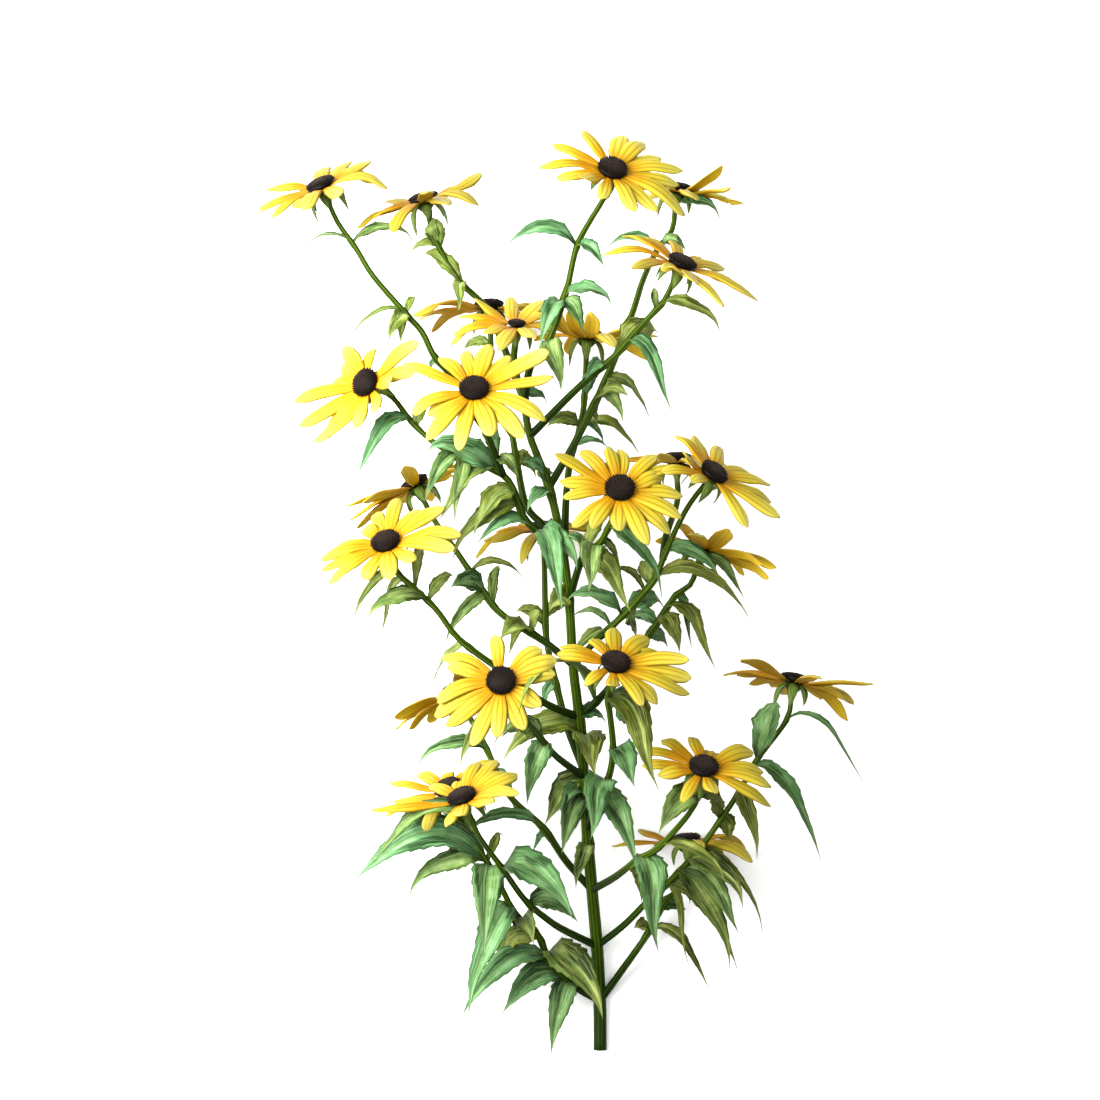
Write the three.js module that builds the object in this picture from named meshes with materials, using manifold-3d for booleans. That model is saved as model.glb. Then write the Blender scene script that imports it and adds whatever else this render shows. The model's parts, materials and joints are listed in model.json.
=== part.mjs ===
// A cut stem of orange coneflower, Rudbeckia fulgida, with its branches, leaves and blooms, lying down.
// Millimetres. X runs across the plant, Y up its stem from near the cut end, and Z up from what it lies on.
import * as THREE from "three";
import Module from "manifold-3d";

const wasm = await Module();
wasm.setup();

// The plant is placed by points of a photograph that looks straight at it: a point there and a height above the
// surface give a place. PLANT_LENGTH is the real length from the cut end to the highest petal.
const PLANT_LENGTH = 572;
const PLANT_PIXELS = 922;
const MM_PER_PIXEL = PLANT_LENGTH / PLANT_PIXELS;
const PHOTO_CENTRE = [550, 550];
const ORIGIN_PIXEL = [600, 1030];
const EYE_HEIGHT = 2842;

// Stems
const STEM_SIDES = 6;
const STEM_STEP = 44;
const FOOT_APOTHEM = 3.4;
const MAIN_RADII = [FOOT_APOTHEM / Math.cos(Math.PI / STEM_SIDES), 1.9];
const BRANCH_RADII = [2.3, 1.6];
const NECK_LENGTH = 16;
const LINE_STEPS = 200;
const AXIL_GAP = 0.3;

// Blooms, in heights along the bloom's own axis from the top of its green cup
const CUP_DEPTH = 6.5;
const CUP = { radius: 5.6, top: 0, rimTop: -0.2, rimBottom: -1.6 };
const SEPAL_LENGTH = 17;
const SEPAL_HALF_WIDTH = 2.2;
const SEPAL_MIDDLE = 0.45;
const SEPAL_SPREAD = 0.8;
const SEPAL_HOOK = 0.45;
const SEPAL_FALL = 0.3;
const RAY_HUB = { radius: 8.4, top: 1.5, rimTop: 1.2, rimBottom: 0.5, bottom: 0.3 };
const RAY_ROWS = [[0.45, 4.9], [0.85, 3.9]];
const RAY_LAYER = 1.1;
const RAY_LAYER_RISE = 2.5;
const RAY_CUP = 0.1;
const RAY_LEAST = 0.72;
const RAY_MOST = 1.1;
const RAY_ARCH = 0.1;
const RAY_BULGE = 0.5;
const RAY_SPACING = THREE.MathUtils.degToRad(27);
const ROOT_SHARE = 0.75;
const ROOT_ROUNDS = 40;
const RAY_GAP = 0.2;
const FAR_SIDE = -0.35;
const FLOOR_CLEAR = 2;
const BLADE_THICKNESS = 0.9;
const DISC_SIDES = 10;
const DISC_FOOT = 1.8;
const DISC_RINGS = [[8.2, 0], [8.9, 1.3], [5.9, 3.6]];
const DISC_TOP = 4.7;
const DISC_RELIEF = 0.05;
const DISC_CENTRE = 4;

// Leaves. Each outline serves leaves under a width in pixels. Its rows are shares of the blade's length and of
// its greatest half width, with a step for a tooth.
const OUTLINES = [
  { under: 9, rows: [[0.3, 1], [0.66, 0.62]] },
  { under: 17, rows: [[0.15, 0.66], [0.34, 1], [0.55, 0.82], [0.79, 0.37]] },
  { under: 99, rows: [[0.13, 0.62], [0.3, 1], [0.42, 0.87], [0.56, 0.9], [0.79, 0.38]] },
];
const LEAF_THICKNESS = 0.8;
const LEAF_FACE = 60;
const LEAF_ARCH = 0.34;
const LEAF_LIFT = new THREE.Vector3(0, 0.92, 0.39);
const LEAF_SLANT = 1.25;
const DOWN_STEM = new THREE.Vector3(0, -1, 0);

const MATERIALS = {
  green: new THREE.MeshStandardMaterial({ color: 0x4f8a3a, roughness: 0.55, metalness: 0 }),
  yellow: new THREE.MeshStandardMaterial({ color: 0xf5cf1e, roughness: 0.5, metalness: 0 }),
  brown: new THREE.MeshStandardMaterial({ color: 0x2b1812, roughness: 0.75, metalness: 0 }),
};

// Each bloom: its disc's centre in the photograph and its height, how far its axis leans from the line of sight
// and which way, anticlockwise from the photograph's right, in degrees, the reach of its rays in mm, where the
// tips of its rays show, and the size of a young disc. A tip that ends in 1 is on the side towards the camera,
// and one that ends in -1 on the far side.
const BLOOMS = {
  1: {
    at: [320, 183], height: 84, lean: 74, toward: 114, reach: 42,
    tips: [[255, 215], [258, 207], [267, 192], [271, 219], [292, 203], [306, 210], [340, 194], [390, 186],
      [374, 182, -1], [369, 160], [351, 161], [324, 167]],
  },
  2: {
    at: [423, 197], height: 82, lean: 84, toward: 106, reach: 40,
    tips: [[355, 223], [371, 219], [392, 230], [385, 197], [428, 190, 1], [448, 204], [480, 203], [475, 187],
      [480, 172], [459, 190, -1]],
  },
  3: {
    at: [613, 167], height: 141, lean: 47, toward: 72, reach: 44,
    tips: [[538, 168], [553, 144], [583, 132], [622, 132], [661, 158], [683, 172], [681, 182], [686, 216],
      [657, 211], [634, 214], [601, 198], [580, 179], [557, 175]],
  },
  4: {
    at: [678, 187], height: 36.6, lean: 88, toward: 82, reach: 40,
    tips: [[722, 168], [731, 187], [743, 203], [725, 200], [697, 199, 1], [650, 200, 1], [628, 185], [637, 175],
      [668, 178, -1]],
  },
  5: {
    at: [683, 261], height: 128, lean: 70, toward: 65, reach: 46,
    tips: [[600, 254], [640, 232], [633, 267], [663, 269], [673, 266], [695, 286], [724, 306], [758, 301],
      [744, 287], [723, 271], [708, 258]],
  },
  6: {
    at: [517, 321], height: 106, lean: 74, toward: 86, reach: 36, disc: 0.6,
    tips: [[476, 296], [511, 298], [542, 297], [458, 316], [452, 330], [449, 345], [484, 336], [500, 349],
      [533, 340], [552, 326], [549, 312]],
  },
  7: {
    at: [489, 304], height: 38.2, lean: 96, toward: 92, reach: 43,
    tips: [[411, 315], [419, 319], [431, 333], [462, 301, -1], [541, 309], [548, 320], [530, 330]],
  },
  8: {
    at: [587, 333], height: 46, lean: 88, toward: 88, reach: 40,
    tips: [[546, 322], [553, 306], [572, 306, 1], [592, 307], [628, 319], [658, 334], [651, 359], [615, 349, 1],
      [566, 353], [554, 296, -1]],
  },
  9: {
    at: [364, 382], height: 118, lean: 45, toward: 152, reach: 40,
    tips: [[297, 401], [299, 424], [309, 438], [325, 439], [356, 429], [371, 407], [392, 380], [412, 371],
      [420, 343], [368, 347], [345, 349], [338, 364]],
  },
  10: {
    at: [474, 387], height: 158, lean: 41, toward: 92, reach: 43,
    tips: [[403, 360], [466, 349], [510, 355], [548, 352], [553, 377], [547, 420], [523, 435], [491, 437],
      [457, 447], [427, 442], [428, 414], [412, 413]],
  },
  11: {
    at: [620, 487], height: 156, lean: 34, toward: 82, reach: 38,
    tips: [[556, 452], [559, 480], [563, 500], [573, 527], [592, 529], [620, 528], [648, 546], [672, 531],
      [681, 520], [683, 495], [664, 477], [680, 465], [656, 455], [620, 450], [609, 446], [603, 460]],
  },
  12: {
    at: [715, 471], height: 127, lean: 62, toward: 53, reach: 40,
    tips: [[750, 524], [779, 519], [775, 499], [771, 484], [757, 474], [720, 450], [696, 436], [664, 468],
      [684, 456], [692, 480]],
  },
  13: {
    at: [676, 457], height: 60, lean: 86, toward: 92, reach: 38,
    tips: [[622, 456], [614, 462], [660, 451, 1], [640, 470], [700, 470], [722, 462], [735, 470]],
  },
  14: {
    at: [414, 482], height: 39.2, lean: 96, toward: 118, reach: 40,
    tips: [[404, 467, 1], [346, 508], [349, 521], [356, 527], [360, 497], [431, 499], [450, 471], [462, 465],
      [473, 471]],
  },
  15: {
    at: [385, 540], height: 130, lean: 52, toward: 110, reach: 41,
    tips: [[335, 547], [362, 533], [321, 562], [320, 568], [328, 583], [363, 576], [390, 581], [412, 556],
      [454, 549], [461, 533], [445, 509], [400, 499]],
  },
  16: {
    at: [543, 526], height: 42, lean: 82, toward: 92, reach: 41,
    tips: [[484, 540], [475, 559], [490, 546], [521, 527], [544, 519, -1], [588, 539], [600, 530],
      [552, 560, 1], [520, 560, 1]],
  },
  17: {
    at: [706, 545], height: 58, lean: 98, toward: 68, reach: 43,
    tips: [[681, 524], [694, 529], [727, 530, 1], [776, 568], [772, 575], [765, 560], [722, 563]],
  },
  18: {
    at: [501, 680], height: 146, lean: 23, toward: 100, reach: 38,
    tips: [[494, 637], [440, 655], [446, 667], [437, 703], [434, 716], [446, 728], [470, 745], [497, 738],
      [524, 729], [541, 707], [556, 673], [558, 660], [543, 649]],
  },
  19: {
    at: [616, 661], height: 134, lean: 50, toward: 78, reach: 39,
    tips: [[560, 644], [556, 653], [591, 640], [615, 627], [649, 640], [688, 660], [692, 676], [690, 695],
      [659, 701], [643, 705], [613, 685], [584, 686]],
  },
  20: {
    at: [795, 678], height: 46.9, lean: 97, toward: 78, reach: 45,
    tips: [[740, 659], [724, 673], [737, 676], [772, 687], [822, 674], [873, 686], [849, 697], [854, 704],
      [820, 701], [849, 717], [783, 692]],
  },
  21: {
    at: [704, 765], height: 118, lean: 52, toward: 80, reach: 40,
    tips: [[640, 752], [642, 763], [658, 776], [682, 801], [716, 793], [773, 804], [772, 787], [765, 770],
      [754, 752], [713, 751], [693, 735]],
  },
  22: {
    at: [450, 690], height: 31.7, lean: 100, toward: 125, reach: 38,
    tips: [[394, 717], [394, 728], [405, 726], [438, 692, 1], [470, 660], [480, 668], [465, 700]],
  },
  23: {
    at: [461, 795], height: 118, lean: 68, toward: 112, reach: 44,
    tips: [[372, 809], [392, 800], [445, 823], [461, 818], [490, 799], [519, 793], [517, 770], [507, 772],
      [495, 758], [478, 762], [462, 776]],
  },
  24: {
    at: [447, 786], height: 70, lean: 66, toward: 112, reach: 39,
    tips: [[390, 779], [415, 771], [384, 815], [401, 826], [426, 832], [449, 773], [470, 768], [482, 780]],
  },
  25: {
    at: [686, 838], height: 37.2, lean: 88, toward: 95, reach: 43,
    tips: [[611, 840], [640, 830], [655, 841], [753, 858], [745, 851, -1], [720, 858, -1], [700, 850]],
  },
};

// Each stem: where it grows from which other, the points that it passes with their heights, and its bloom.
// Each leaf: where it leaves the stem, where its tip is, how many mm the tip rises above that, the width that
// shows and, if it isn't the usual one, its arch. All but the rise and the arch are in pixels of the
// photograph.
const STEMS = {
  main_stem: {
    root: null,
    path: [[600, 1050, 3.4], [600, 1010, 3.4], [599, 985, 5], [597, 946, 10], [592, 890, 20], [587, 830, 32],
      [584, 777, 43], [579, 717, 55], [573, 665, 65], [569, 600, 76], [562, 545, 84], [549, 487, 91],
      [530, 436, 96], [523, 398, 98]],
    bloom: 6,
    leaves: [[581, 735, 502, 762, 12, 20], [578, 737, 596, 777, 30, 25], [577, 722, 553, 722, 4, 8],
      [579, 716, 606, 722, -6, 14], [586, 790, 557, 812, 14, 12], [587, 798, 561, 856, 22, 20],
      [589, 846, 576, 890, 8, 13], [586, 786, 544, 826, -14, 20], [571, 596, 549, 612, 14, 18],
      [560, 470, 541, 472, -4, 12], [549, 487, 523, 463, 10, 13], [548, 492, 527, 512, 16, 14],
      [522, 395, 548, 405, -16, 9]],
  },
  branch_1: {
    root: [601, 1001],
    path: [[569, 983, 14], [549, 961, 22], [538, 935, 32], [516, 915, 42], [501, 887, 52], [487, 862, 60],
      [474, 842, 62]],
    bloom: 24,
    leaves: [[484, 861, 353, 882, 14, 27], [491, 868, 484, 957, 34, 25], [484, 866, 408, 900, -8, 17],
      [524, 920, 533, 945, 26, 19], [516, 913, 493, 940, -8, 16],
      [534, 946, 486, 975, -12, 20], [548, 962, 460, 1020, 16, 20], [512, 908, 469, 1020, 14, 24],
      [560, 984, 501, 1015, 8, 22], [568, 985, 551, 1058, 4, 19], [549, 963, 567, 972, -8, 15],
      [551, 950, 603, 1020, 30, 28], [474, 840, 438, 815, -16, 18], [491, 862, 503, 835, -14, 7]],
  },
  branch_2: {
    root: [601, 1000],
    path: [[643, 941, 14], [652, 925, 18], [668, 898, 26], [681, 890, 32]],
    bloom: 25,
    leaves: [[650, 938, 710, 990, -4, 10], [648, 934, 634, 928, 6, 12],
      [676, 875, 690, 905, -14, 9], [660, 912, 686, 910, -6, 12]],
  },
  branch_3: {
    root: [597, 946],
    path: [[564, 930, 26], [547, 919, 38], [525, 900, 54], [502, 868, 80], [487, 848, 92]],
    bloom: 23,
    leaves: [[502, 865, 573, 920, 22, 26], [530, 902, 578, 922, -10, 18], [474, 818, 372, 864, -6, 14]],
  },
  branch_4: {
    root: [598, 944],
    path: [[624, 925, 21], [647, 902, 33], [670, 881, 46], [698, 851, 58], [721, 819, 61], [739, 792, 60],
      [757, 760, 57]],
    bloom: 20,
    leaves: [[691, 860, 743, 908, 26, 20], [722, 818, 709, 803, 10, 12], [722, 815, 732, 843, -8, 14],
      [741, 790, 757, 860, 4, 13], [752, 768, 821, 860, 6, 14], [784, 716, 864, 783, 0, 5],
      [758, 758, 781, 708, 12, 22], [681, 872, 739, 934, 18, 21],
      [679, 875, 730, 973, 6, 19], [665, 886, 739, 975, -8, 13], [664, 888, 690, 970, -12, 6],
      [698, 851, 763, 934, -12, 7]],
  },
  branch_5: {
    root: [592, 888],
    path: [[566, 861, 24], [543, 828, 32], [508, 794, 37], [487, 750, 37]],
    bloom: 22,
    leaves: [[541, 830, 463, 840, 10, 12], [545, 834, 532, 852, -6, 6], [497, 775, 516, 816, -6, 8],
      [487, 748, 416, 770, 4, 11]],
  },
  branch_6: {
    root: [593, 890],
    path: [[615, 877, 46], [636, 861, 70], [659, 847, 86], [688, 815, 102]],
    bloom: 21,
    leaves: [[699, 800, 658, 835, 12, 20], [700, 798, 726, 808, -14, 12], [657, 848, 725, 883, 8, 10],
      [635, 862, 642, 902, -12, 17], [640, 860, 659, 953, 10, 23]],
  },
  branch_7: {
    root: [588, 832],
    path: [[596, 803, 52], [609, 776, 70], [613, 750, 86], [611, 723, 100], [608, 700, 112]],
    bloom: 19,
    leaves: [[610, 702, 659, 790, 16, 24], [611, 706, 654, 756, -24, 26], [613, 748, 635, 788, 12, 21],
      [607, 783, 590, 841, 20, 23], [602, 796, 637, 870, 23, 20]],
  },
  branch_8: {
    root: [584, 779],
    path: [[557, 757, 66], [543, 741, 84], [522, 716, 110]],
    bloom: 18,
    leaves: [[545, 745, 527, 806, 4, 19], [541, 737, 502, 737, -10, 18], [534, 730, 493, 745, -18, 8],
      [512, 706, 459, 772, -2, 14]],
  },
  branch_9: {
    root: [582, 768],
    path: [[568, 730, 42], [560, 700, 38], [547, 643, 36], [545, 598, 36]],
    bloom: 16,
    leaves: [[547, 630, 515, 612, -6, 10], [546, 620, 572, 606, -10, 10], [556, 684, 540, 710, -6, 10]],
  },
  side_15: {
    root: [577, 718],
    path: [[543, 702, 72], [500, 670, 88], [459, 639, 100], [434, 607, 108]],
    bloom: 15,
    leaves: [[430, 602, 367, 622, 6, 15], [432, 600, 455, 577, -10, 10], [400, 572, 352, 629, -26, 7],
      [412, 580, 377, 643, -30, 6], [418, 584, 424, 546, -34, 8], [470, 646, 430, 692, -24, 9]],
  },
  side_17: {
    root: [580, 716],
    path: [[602, 696, 57], [630, 660, 56], [656, 625, 56], [676, 595, 57]],
    bloom: 17,
    leaves: [[596, 698, 518, 714, 100, 17], [670, 606, 716, 669, 10, 13], [664, 614, 680, 653, 8, 16],
      [676, 598, 692, 648, -10, 7], [658, 622, 627, 621, -10, 11], [646, 640, 668, 647, -14, 12],
      [692, 562, 745, 599, 8, 9]],
  },
  side_14: {
    root: [573, 662],
    path: [[549, 645, 68], [525, 629, 70], [498, 611, 68], [475, 579, 64], [452, 545, 56]],
    bloom: 14,
    leaves: [[486, 592, 450, 588, 8, 17], [484, 598, 444, 648, -8, 10], [492, 602, 497, 566, 6, 8],
      [530, 632, 500, 640, 16, 20], [532, 634, 540, 612, 8, 11], [525, 634, 508, 656, -14, 9],
      [472, 574, 523, 578, -12, 6]],
  },
  side_12: {
    root: [572, 668],
    path: [[594, 643, 78], [611, 627, 86], [629, 609, 92], [654, 580, 97], [663, 559, 99], [677, 527, 103]],
    bloom: 12,
    leaves: [[650, 585, 642, 562, -10, 12], [643, 592, 613, 570, 4, 6], [654, 582, 749, 617, -8, 11],
      [632, 608, 664, 607, -12, 16], [667, 552, 720, 580, -4, 12], [619, 618, 566, 602, 4, 17],
      [611, 627, 572, 617, -12, 6], [620, 618, 637, 642, -16, 16], [604, 633, 571, 670, 20, 10]],
  },
  side_13: {
    parent: "side_12",
    root: [661, 560],
    path: [[666, 536, 82]],
    bloom: 13,
    leaves: [],
  },
  side_11: {
    root: [569, 600],
    path: [[583, 557, 100], [600, 543, 114], [612, 520, 132]],
    bloom: 11,
    leaves: [[598, 546, 588, 593, 14, 19], [602, 542, 621, 571, -16, 6], [582, 562, 632, 614, 16, 17],
      [590, 553, 603, 522, -18, 11], [588, 552, 566, 538, 4, 9], [609, 528, 662, 597, -8, 14]],
  },
  side_9: {
    root: [561, 546],
    path: [[528, 523, 92], [517, 500, 97], [503, 475, 102], [459, 457, 105], [432, 441, 102], [411, 421, 96]],
    bloom: 9,
    leaves: [[412, 426, 427, 405, 4, 10], [405, 424, 355, 479, 6, 13], [408, 427, 362, 457, -10, 6],
      [500, 472, 427, 453, 20, 21, 0.3], [457, 456, 424, 502, 4, 13], [466, 460, 455, 523, 8, 12],
      [497, 472, 439, 520, 8, 17], [512, 496, 473, 536, 4, 21], [520, 511, 452, 562, -6, 16],
      [534, 527, 476, 545, 10, 11], [538, 530, 563, 615, 24, 18], [540, 531, 577, 572, 16, 18]],
  },
  side_10: {
    parent: "side_9",
    root: [503, 475],
    path: [[497, 460, 112], [486, 432, 132]],
    bloom: 10,
    leaves: [[497, 460, 478, 420, -10, 12], [498, 462, 518, 478, 4, 13]],
  },
  side_7: {
    root: [563, 552],
    path: [[545, 527, 76], [526, 505, 68], [516, 457, 62], [509, 425, 56], [484, 371, 47]],
    bloom: 7,
    leaves: [[516, 455, 536, 478, -8, 12], [482, 345, 462, 352, -8, 8]],
  },
  side_1: {
    parent: "side_7",
    root: [512, 436],
    path: [[501, 420, 64], [470, 392, 72], [437, 360, 78], [422, 332, 80], [406, 314, 81], [373, 276, 82],
      [357, 250, 80]],
    bloom: 1,
    leaves: [[350, 242, 306, 248, -6, 3], [354, 244, 414, 242, 6, 9], [404, 312, 348, 342, -4, 4],
      [405, 312, 389, 344, 8, 12], [406, 314, 399, 347, -4, 8], [408, 316, 416, 298, -6, 6],
      [437, 360, 428, 384, -10, 9]],
  },
  side_8: {
    root: [567, 560],
    path: [[566, 500, 72], [571, 457, 64], [582, 420, 56]],
    bloom: 8,
    leaves: [[578, 430, 546, 428, 10, 11], [580, 428, 639, 453, 8, 11], [582, 424, 604, 446, -8, 7],
      [572, 450, 608, 448, -6, 6], [583, 395, 600, 372, -6, 10]],
  },
  side_4: {
    root: [549, 487],
    path: [[573, 446, 91], [595, 403, 92], [606, 380, 92], [631, 317, 87], [643, 280, 68], [657, 250, 47]],
    bloom: 4,
    leaves: [[666, 207, 720, 218, 4, 10], [654, 248, 606, 249, -6, 8], [656, 244, 687, 251, 4, 10],
      [602, 386, 623, 423, 6, 11], [606, 378, 649, 416, -8, 10], [592, 404, 629, 396, 16, 14],
      [592, 408, 597, 426, -8, 7]],
  },
  side_5: {
    root: [530, 436],
    path: [[578, 388, 104], [615, 356, 111], [633, 335, 115], [656, 310, 119]],
    bloom: 5,
    leaves: [[657, 308, 653, 289, 6, 6], [660, 307, 721, 335, 0, 10], [622, 350, 658, 333, -12, 22],
      [628, 344, 672, 412, 4, 12], [606, 364, 585, 380, 6, 10]],
  },
  side_3: {
    root: [524, 402],
    path: [[530, 368, 110], [544, 350, 127], [558, 318, 133], [562, 303, 133], [568, 285, 129], [577, 246, 124],
      [593, 216, 119]],
    bloom: 3,
    leaves: [[577, 246, 507, 245, 6, 11], [577, 248, 605, 268, 4, 11], [566, 292, 612, 305, 4, 14],
      [562, 303, 540, 347, 14, 15], [563, 302, 585, 333, 6, 14], [550, 344, 561, 394, 10, 17]],
  },
  side_2: {
    root: [522, 394],
    path: [[505, 350, 80], [487, 309, 70], [462, 284, 72], [449, 264, 75]],
    bloom: 2,
    leaves: [[440, 246, 430, 221, 8, 15], [438, 244, 410, 253, -4, 7], [462, 284, 422, 257, 4, 12],
      [463, 286, 458, 312, 12, 10]],
  },
};

// Seeded draws between two bounds, the same on every run.
function drawFrom(seed) {
  let state = seed * 7919 + 17;
  const draw = (low, high) => {
    state = (state * 1664525 + 1013904223) % 4294967296;
    return low + ((high - low) * state) / 4294967296;
  };
  for (let k = 0; k < 3; k += 1) draw(0, 1);
  return draw;
}

const radians = THREE.MathUtils.degToRad;

// The place of a point of the photograph at a height above the surface.
function spot(x, y, height) {
  const nearer = 1 - height / EYE_HEIGHT;
  const across = (x - PHOTO_CENTRE[0]) * nearer + PHOTO_CENTRE[0] - ORIGIN_PIXEL[0];
  const along = (PHOTO_CENTRE[1] - y) * nearer + ORIGIN_PIXEL[1] - PHOTO_CENTRE[1];
  return new THREE.Vector3(across * MM_PER_PIXEL, along * MM_PER_PIXEL, height);
}

// A point moved by shares of several directions.
function moved(point, ...steps) {
  const place = point.clone();
  for (const [direction, share] of steps) place.addScaledVector(direction, share);
  return place;
}

function solidOf(points, faces) {
  const vertProperties = new Float32Array(points.flatMap((p) => [p.x, p.y, p.z]));
  const triVerts = new Uint32Array(faces.flat());
  return new wasm.Manifold(new wasm.Mesh({ numProp: 3, vertProperties, triVerts }));
}

// The skin from one point through rings of equally many points to another.
function spindle(root, rings, tip) {
  const points = [...rings.flat(), root, tip];
  const count = rings[0].length;
  const [first, end] = [points.length - 2, points.length - 1];
  const last = (rings.length - 1) * count;
  const faces = [];
  for (let j = 0; j < count; j += 1) {
    const next = (j + 1) % count;
    faces.push([first, j, next], [last + j, end, last + next]);
    for (let i = 0; i < last; i += count) {
      faces.push([i + j, i + count + j, i + count + next], [i + j, i + count + next, i + next]);
    }
  }
  return solidOf(points, faces);
}

// The rings of a round stem along a line, thinning from one radius to another past its first, level stretch.
function stemRings(line, radii) {
  const stops = [line.curves[0].v1, ...line.curves.map((part) => part.v2)];
  let side = new THREE.Vector3(1, 0, 0);
  return stops.map((centre, k) => {
    const before = stops[Math.max(0, k - 1)];
    const after = stops[k < 2 ? 1 : Math.min(k + 1, stops.length - 1)];
    const forward = after.clone().sub(before).normalize();
    side = moved(side, [forward, -side.dot(forward)]).normalize();
    const over = new THREE.Vector3().crossVectors(forward, side);
    const radius = THREE.MathUtils.lerp(...radii, k < 2 ? 0 : k / (stops.length - 1));
    return Array.from({ length: STEM_SIDES }, (_, j) => {
      const angle = (j * 2 * Math.PI) / STEM_SIDES;
      return moved(centre, [side, radius * Math.cos(angle)], [over, radius * Math.sin(angle)]);
    });
  });
}

// The bloom's own directions: its axis, and two across it, the first towards the photograph's right.
function bloomFrame(bloom) {
  const lean = radians(bloom.lean);
  const toward = radians(bloom.toward);
  const level = Math.sin(lean);
  const axis = new THREE.Vector3(level * Math.cos(toward), level * Math.sin(toward), Math.cos(lean));
  const right = moved(new THREE.Vector3(1, 0, 0), [axis, -axis.x]).normalize();
  const over = new THREE.Vector3().crossVectors(axis, right);
  const centre = moved(spot(...bloom.at, bloom.height), [axis, -DISC_CENTRE]);
  return { axis, right, over, centre };
}

// A bloom's direction at an angle round its axis, and the one across it.
function spoke({ axis, right, over }, angle) {
  const out = moved(new THREE.Vector3(), [right, Math.cos(angle)], [over, Math.sin(angle)]);
  return { out, across: new THREE.Vector3().crossVectors(axis, out) };
}

// The angle round a bloom's axis at which a point lies.
function turnOf({ right, over, centre }, point) {
  const away = point.clone().sub(centre);
  return Math.atan2(away.dot(over), away.dot(right));
}

// The left, right and keel points of a blade where its spine passes a middle point.
function bladeRow(middle, across, under, width, thickness) {
  return [moved(middle, [across, -width]), moved(middle, [across, width]), moved(middle, [under, -thickness])];
}

// A ring of blades round a hub, which stands on a stem's rings or on a point. Each blade is an angle, rows and
// a tip, and grows from a side of the hub of its own.
function wheel(frame, hub, blades, stem) {
  const count = blades.length;
  const points = [moved(frame.centre, [frame.axis, hub.top])];
  const faces = [];
  for (let k = 0; k < count; k += 1) {
    const before = k === 0 ? blades[count - 1].angle - 2 * Math.PI : blades[k - 1].angle;
    const { out } = spoke(frame, (before + blades[k].angle) / 2);
    const rim = moved(frame.centre, [out, hub.radius]);
    points.push(moved(rim, [frame.axis, hub.rimTop]), moved(rim, [frame.axis, hub.rimBottom]));
  }
  blades.forEach((blade, k) => {
    const next = (k + 1) % count;
    addBlade(points, faces, blade, [1 + 2 * k, 2 + 2 * k, 1 + 2 * next, 2 + 2 * next]);
  });
  const rim = blades.map((_, k) => 2 + 2 * k);
  if (stem) {
    addStem(points, faces, rim, stem);
  } else {
    points.push(moved(frame.centre, [frame.axis, hub.bottom]));
    rim.forEach((a, k) => faces.push([points.length - 1, rim[(k + 1) % count], a]));
  }
  return solidOf(points, faces);
}

// A blade on one side of a hub whose four corners are given, with the hub's own top face.
function addBlade(points, faces, blade, [top, bottom, nextTop, nextBottom]) {
  faces.push([0, top, nextTop]);
  let [left, far, keel] = [points.length, points.length + 1, points.length + 2];
  points.push(...blade.rows[0]);
  faces.push([top, left, far], [top, far, nextTop], [bottom, nextBottom, keel]);
  faces.push([top, bottom, keel], [top, keel, left], [nextTop, keel, nextBottom], [nextTop, far, keel]);
  for (const row of blade.rows.slice(1)) {
    const [l, f, d] = [points.length, points.length + 1, points.length + 2];
    points.push(...row);
    faces.push([left, l, f], [left, f, far], [left, keel, d], [left, d, l], [far, d, keel], [far, f, d]);
    [left, far, keel] = [l, f, d];
  }
  points.push(blade.tip);
  const tip = points.length - 1;
  faces.push([left, tip, far], [left, keel, tip], [far, tip, keel]);
}

// A stem below a hub's rim, from its last ring down to its first, which is closed.
function addStem(points, faces, rim, rings) {
  let upper = rim;
  for (const row of [...rings].reverse()) {
    const lower = row.map((_, k) => points.length + k);
    points.push(...row);
    for (let k = 0; k < rim.length; k += 1) {
      const next = (k + 1) % rim.length;
      faces.push([upper[k], lower[k], lower[next]], [upper[k], lower[next], upper[next]]);
    }
    upper = lower;
  }
  for (let k = 1; k < rim.length - 1; k += 1) faces.push([upper[0], upper[k + 1], upper[k]]);
}

// A ray's tip: on the line of sight through its point of the photograph, where that is nearest to the bloom's
// plane at a reach that a ray can have, or on the side of the bloom that is asked for.
function rayTip(bloom, { centre, axis }, [x, y, side]) {
  const ground = spot(x, y, 0);
  const sight = spot(...PHOTO_CENTRE, 0).setZ(EYE_HEIGHT).sub(ground).normalize();
  const off = ground.sub(centre);
  const aside = moved(off, [sight, -off.dot(sight)]);
  const flat = -aside.dot(axis) / sight.dot(axis);
  const wanted = Math.hypot(aside.length(), flat);
  const reach = THREE.MathUtils.clamp(wanted, RAY_LEAST * bloom.reach, RAY_MOST * bloom.reach);
  const depth = Math.sqrt(Math.max(0, reach ** 2 - aside.lengthSq())) * Math.sign(side ?? flat);
  return moved(centre, [aside, 1], [sight, Math.max(depth, FLOOR_CLEAR - centre.z)]);
}

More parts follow.
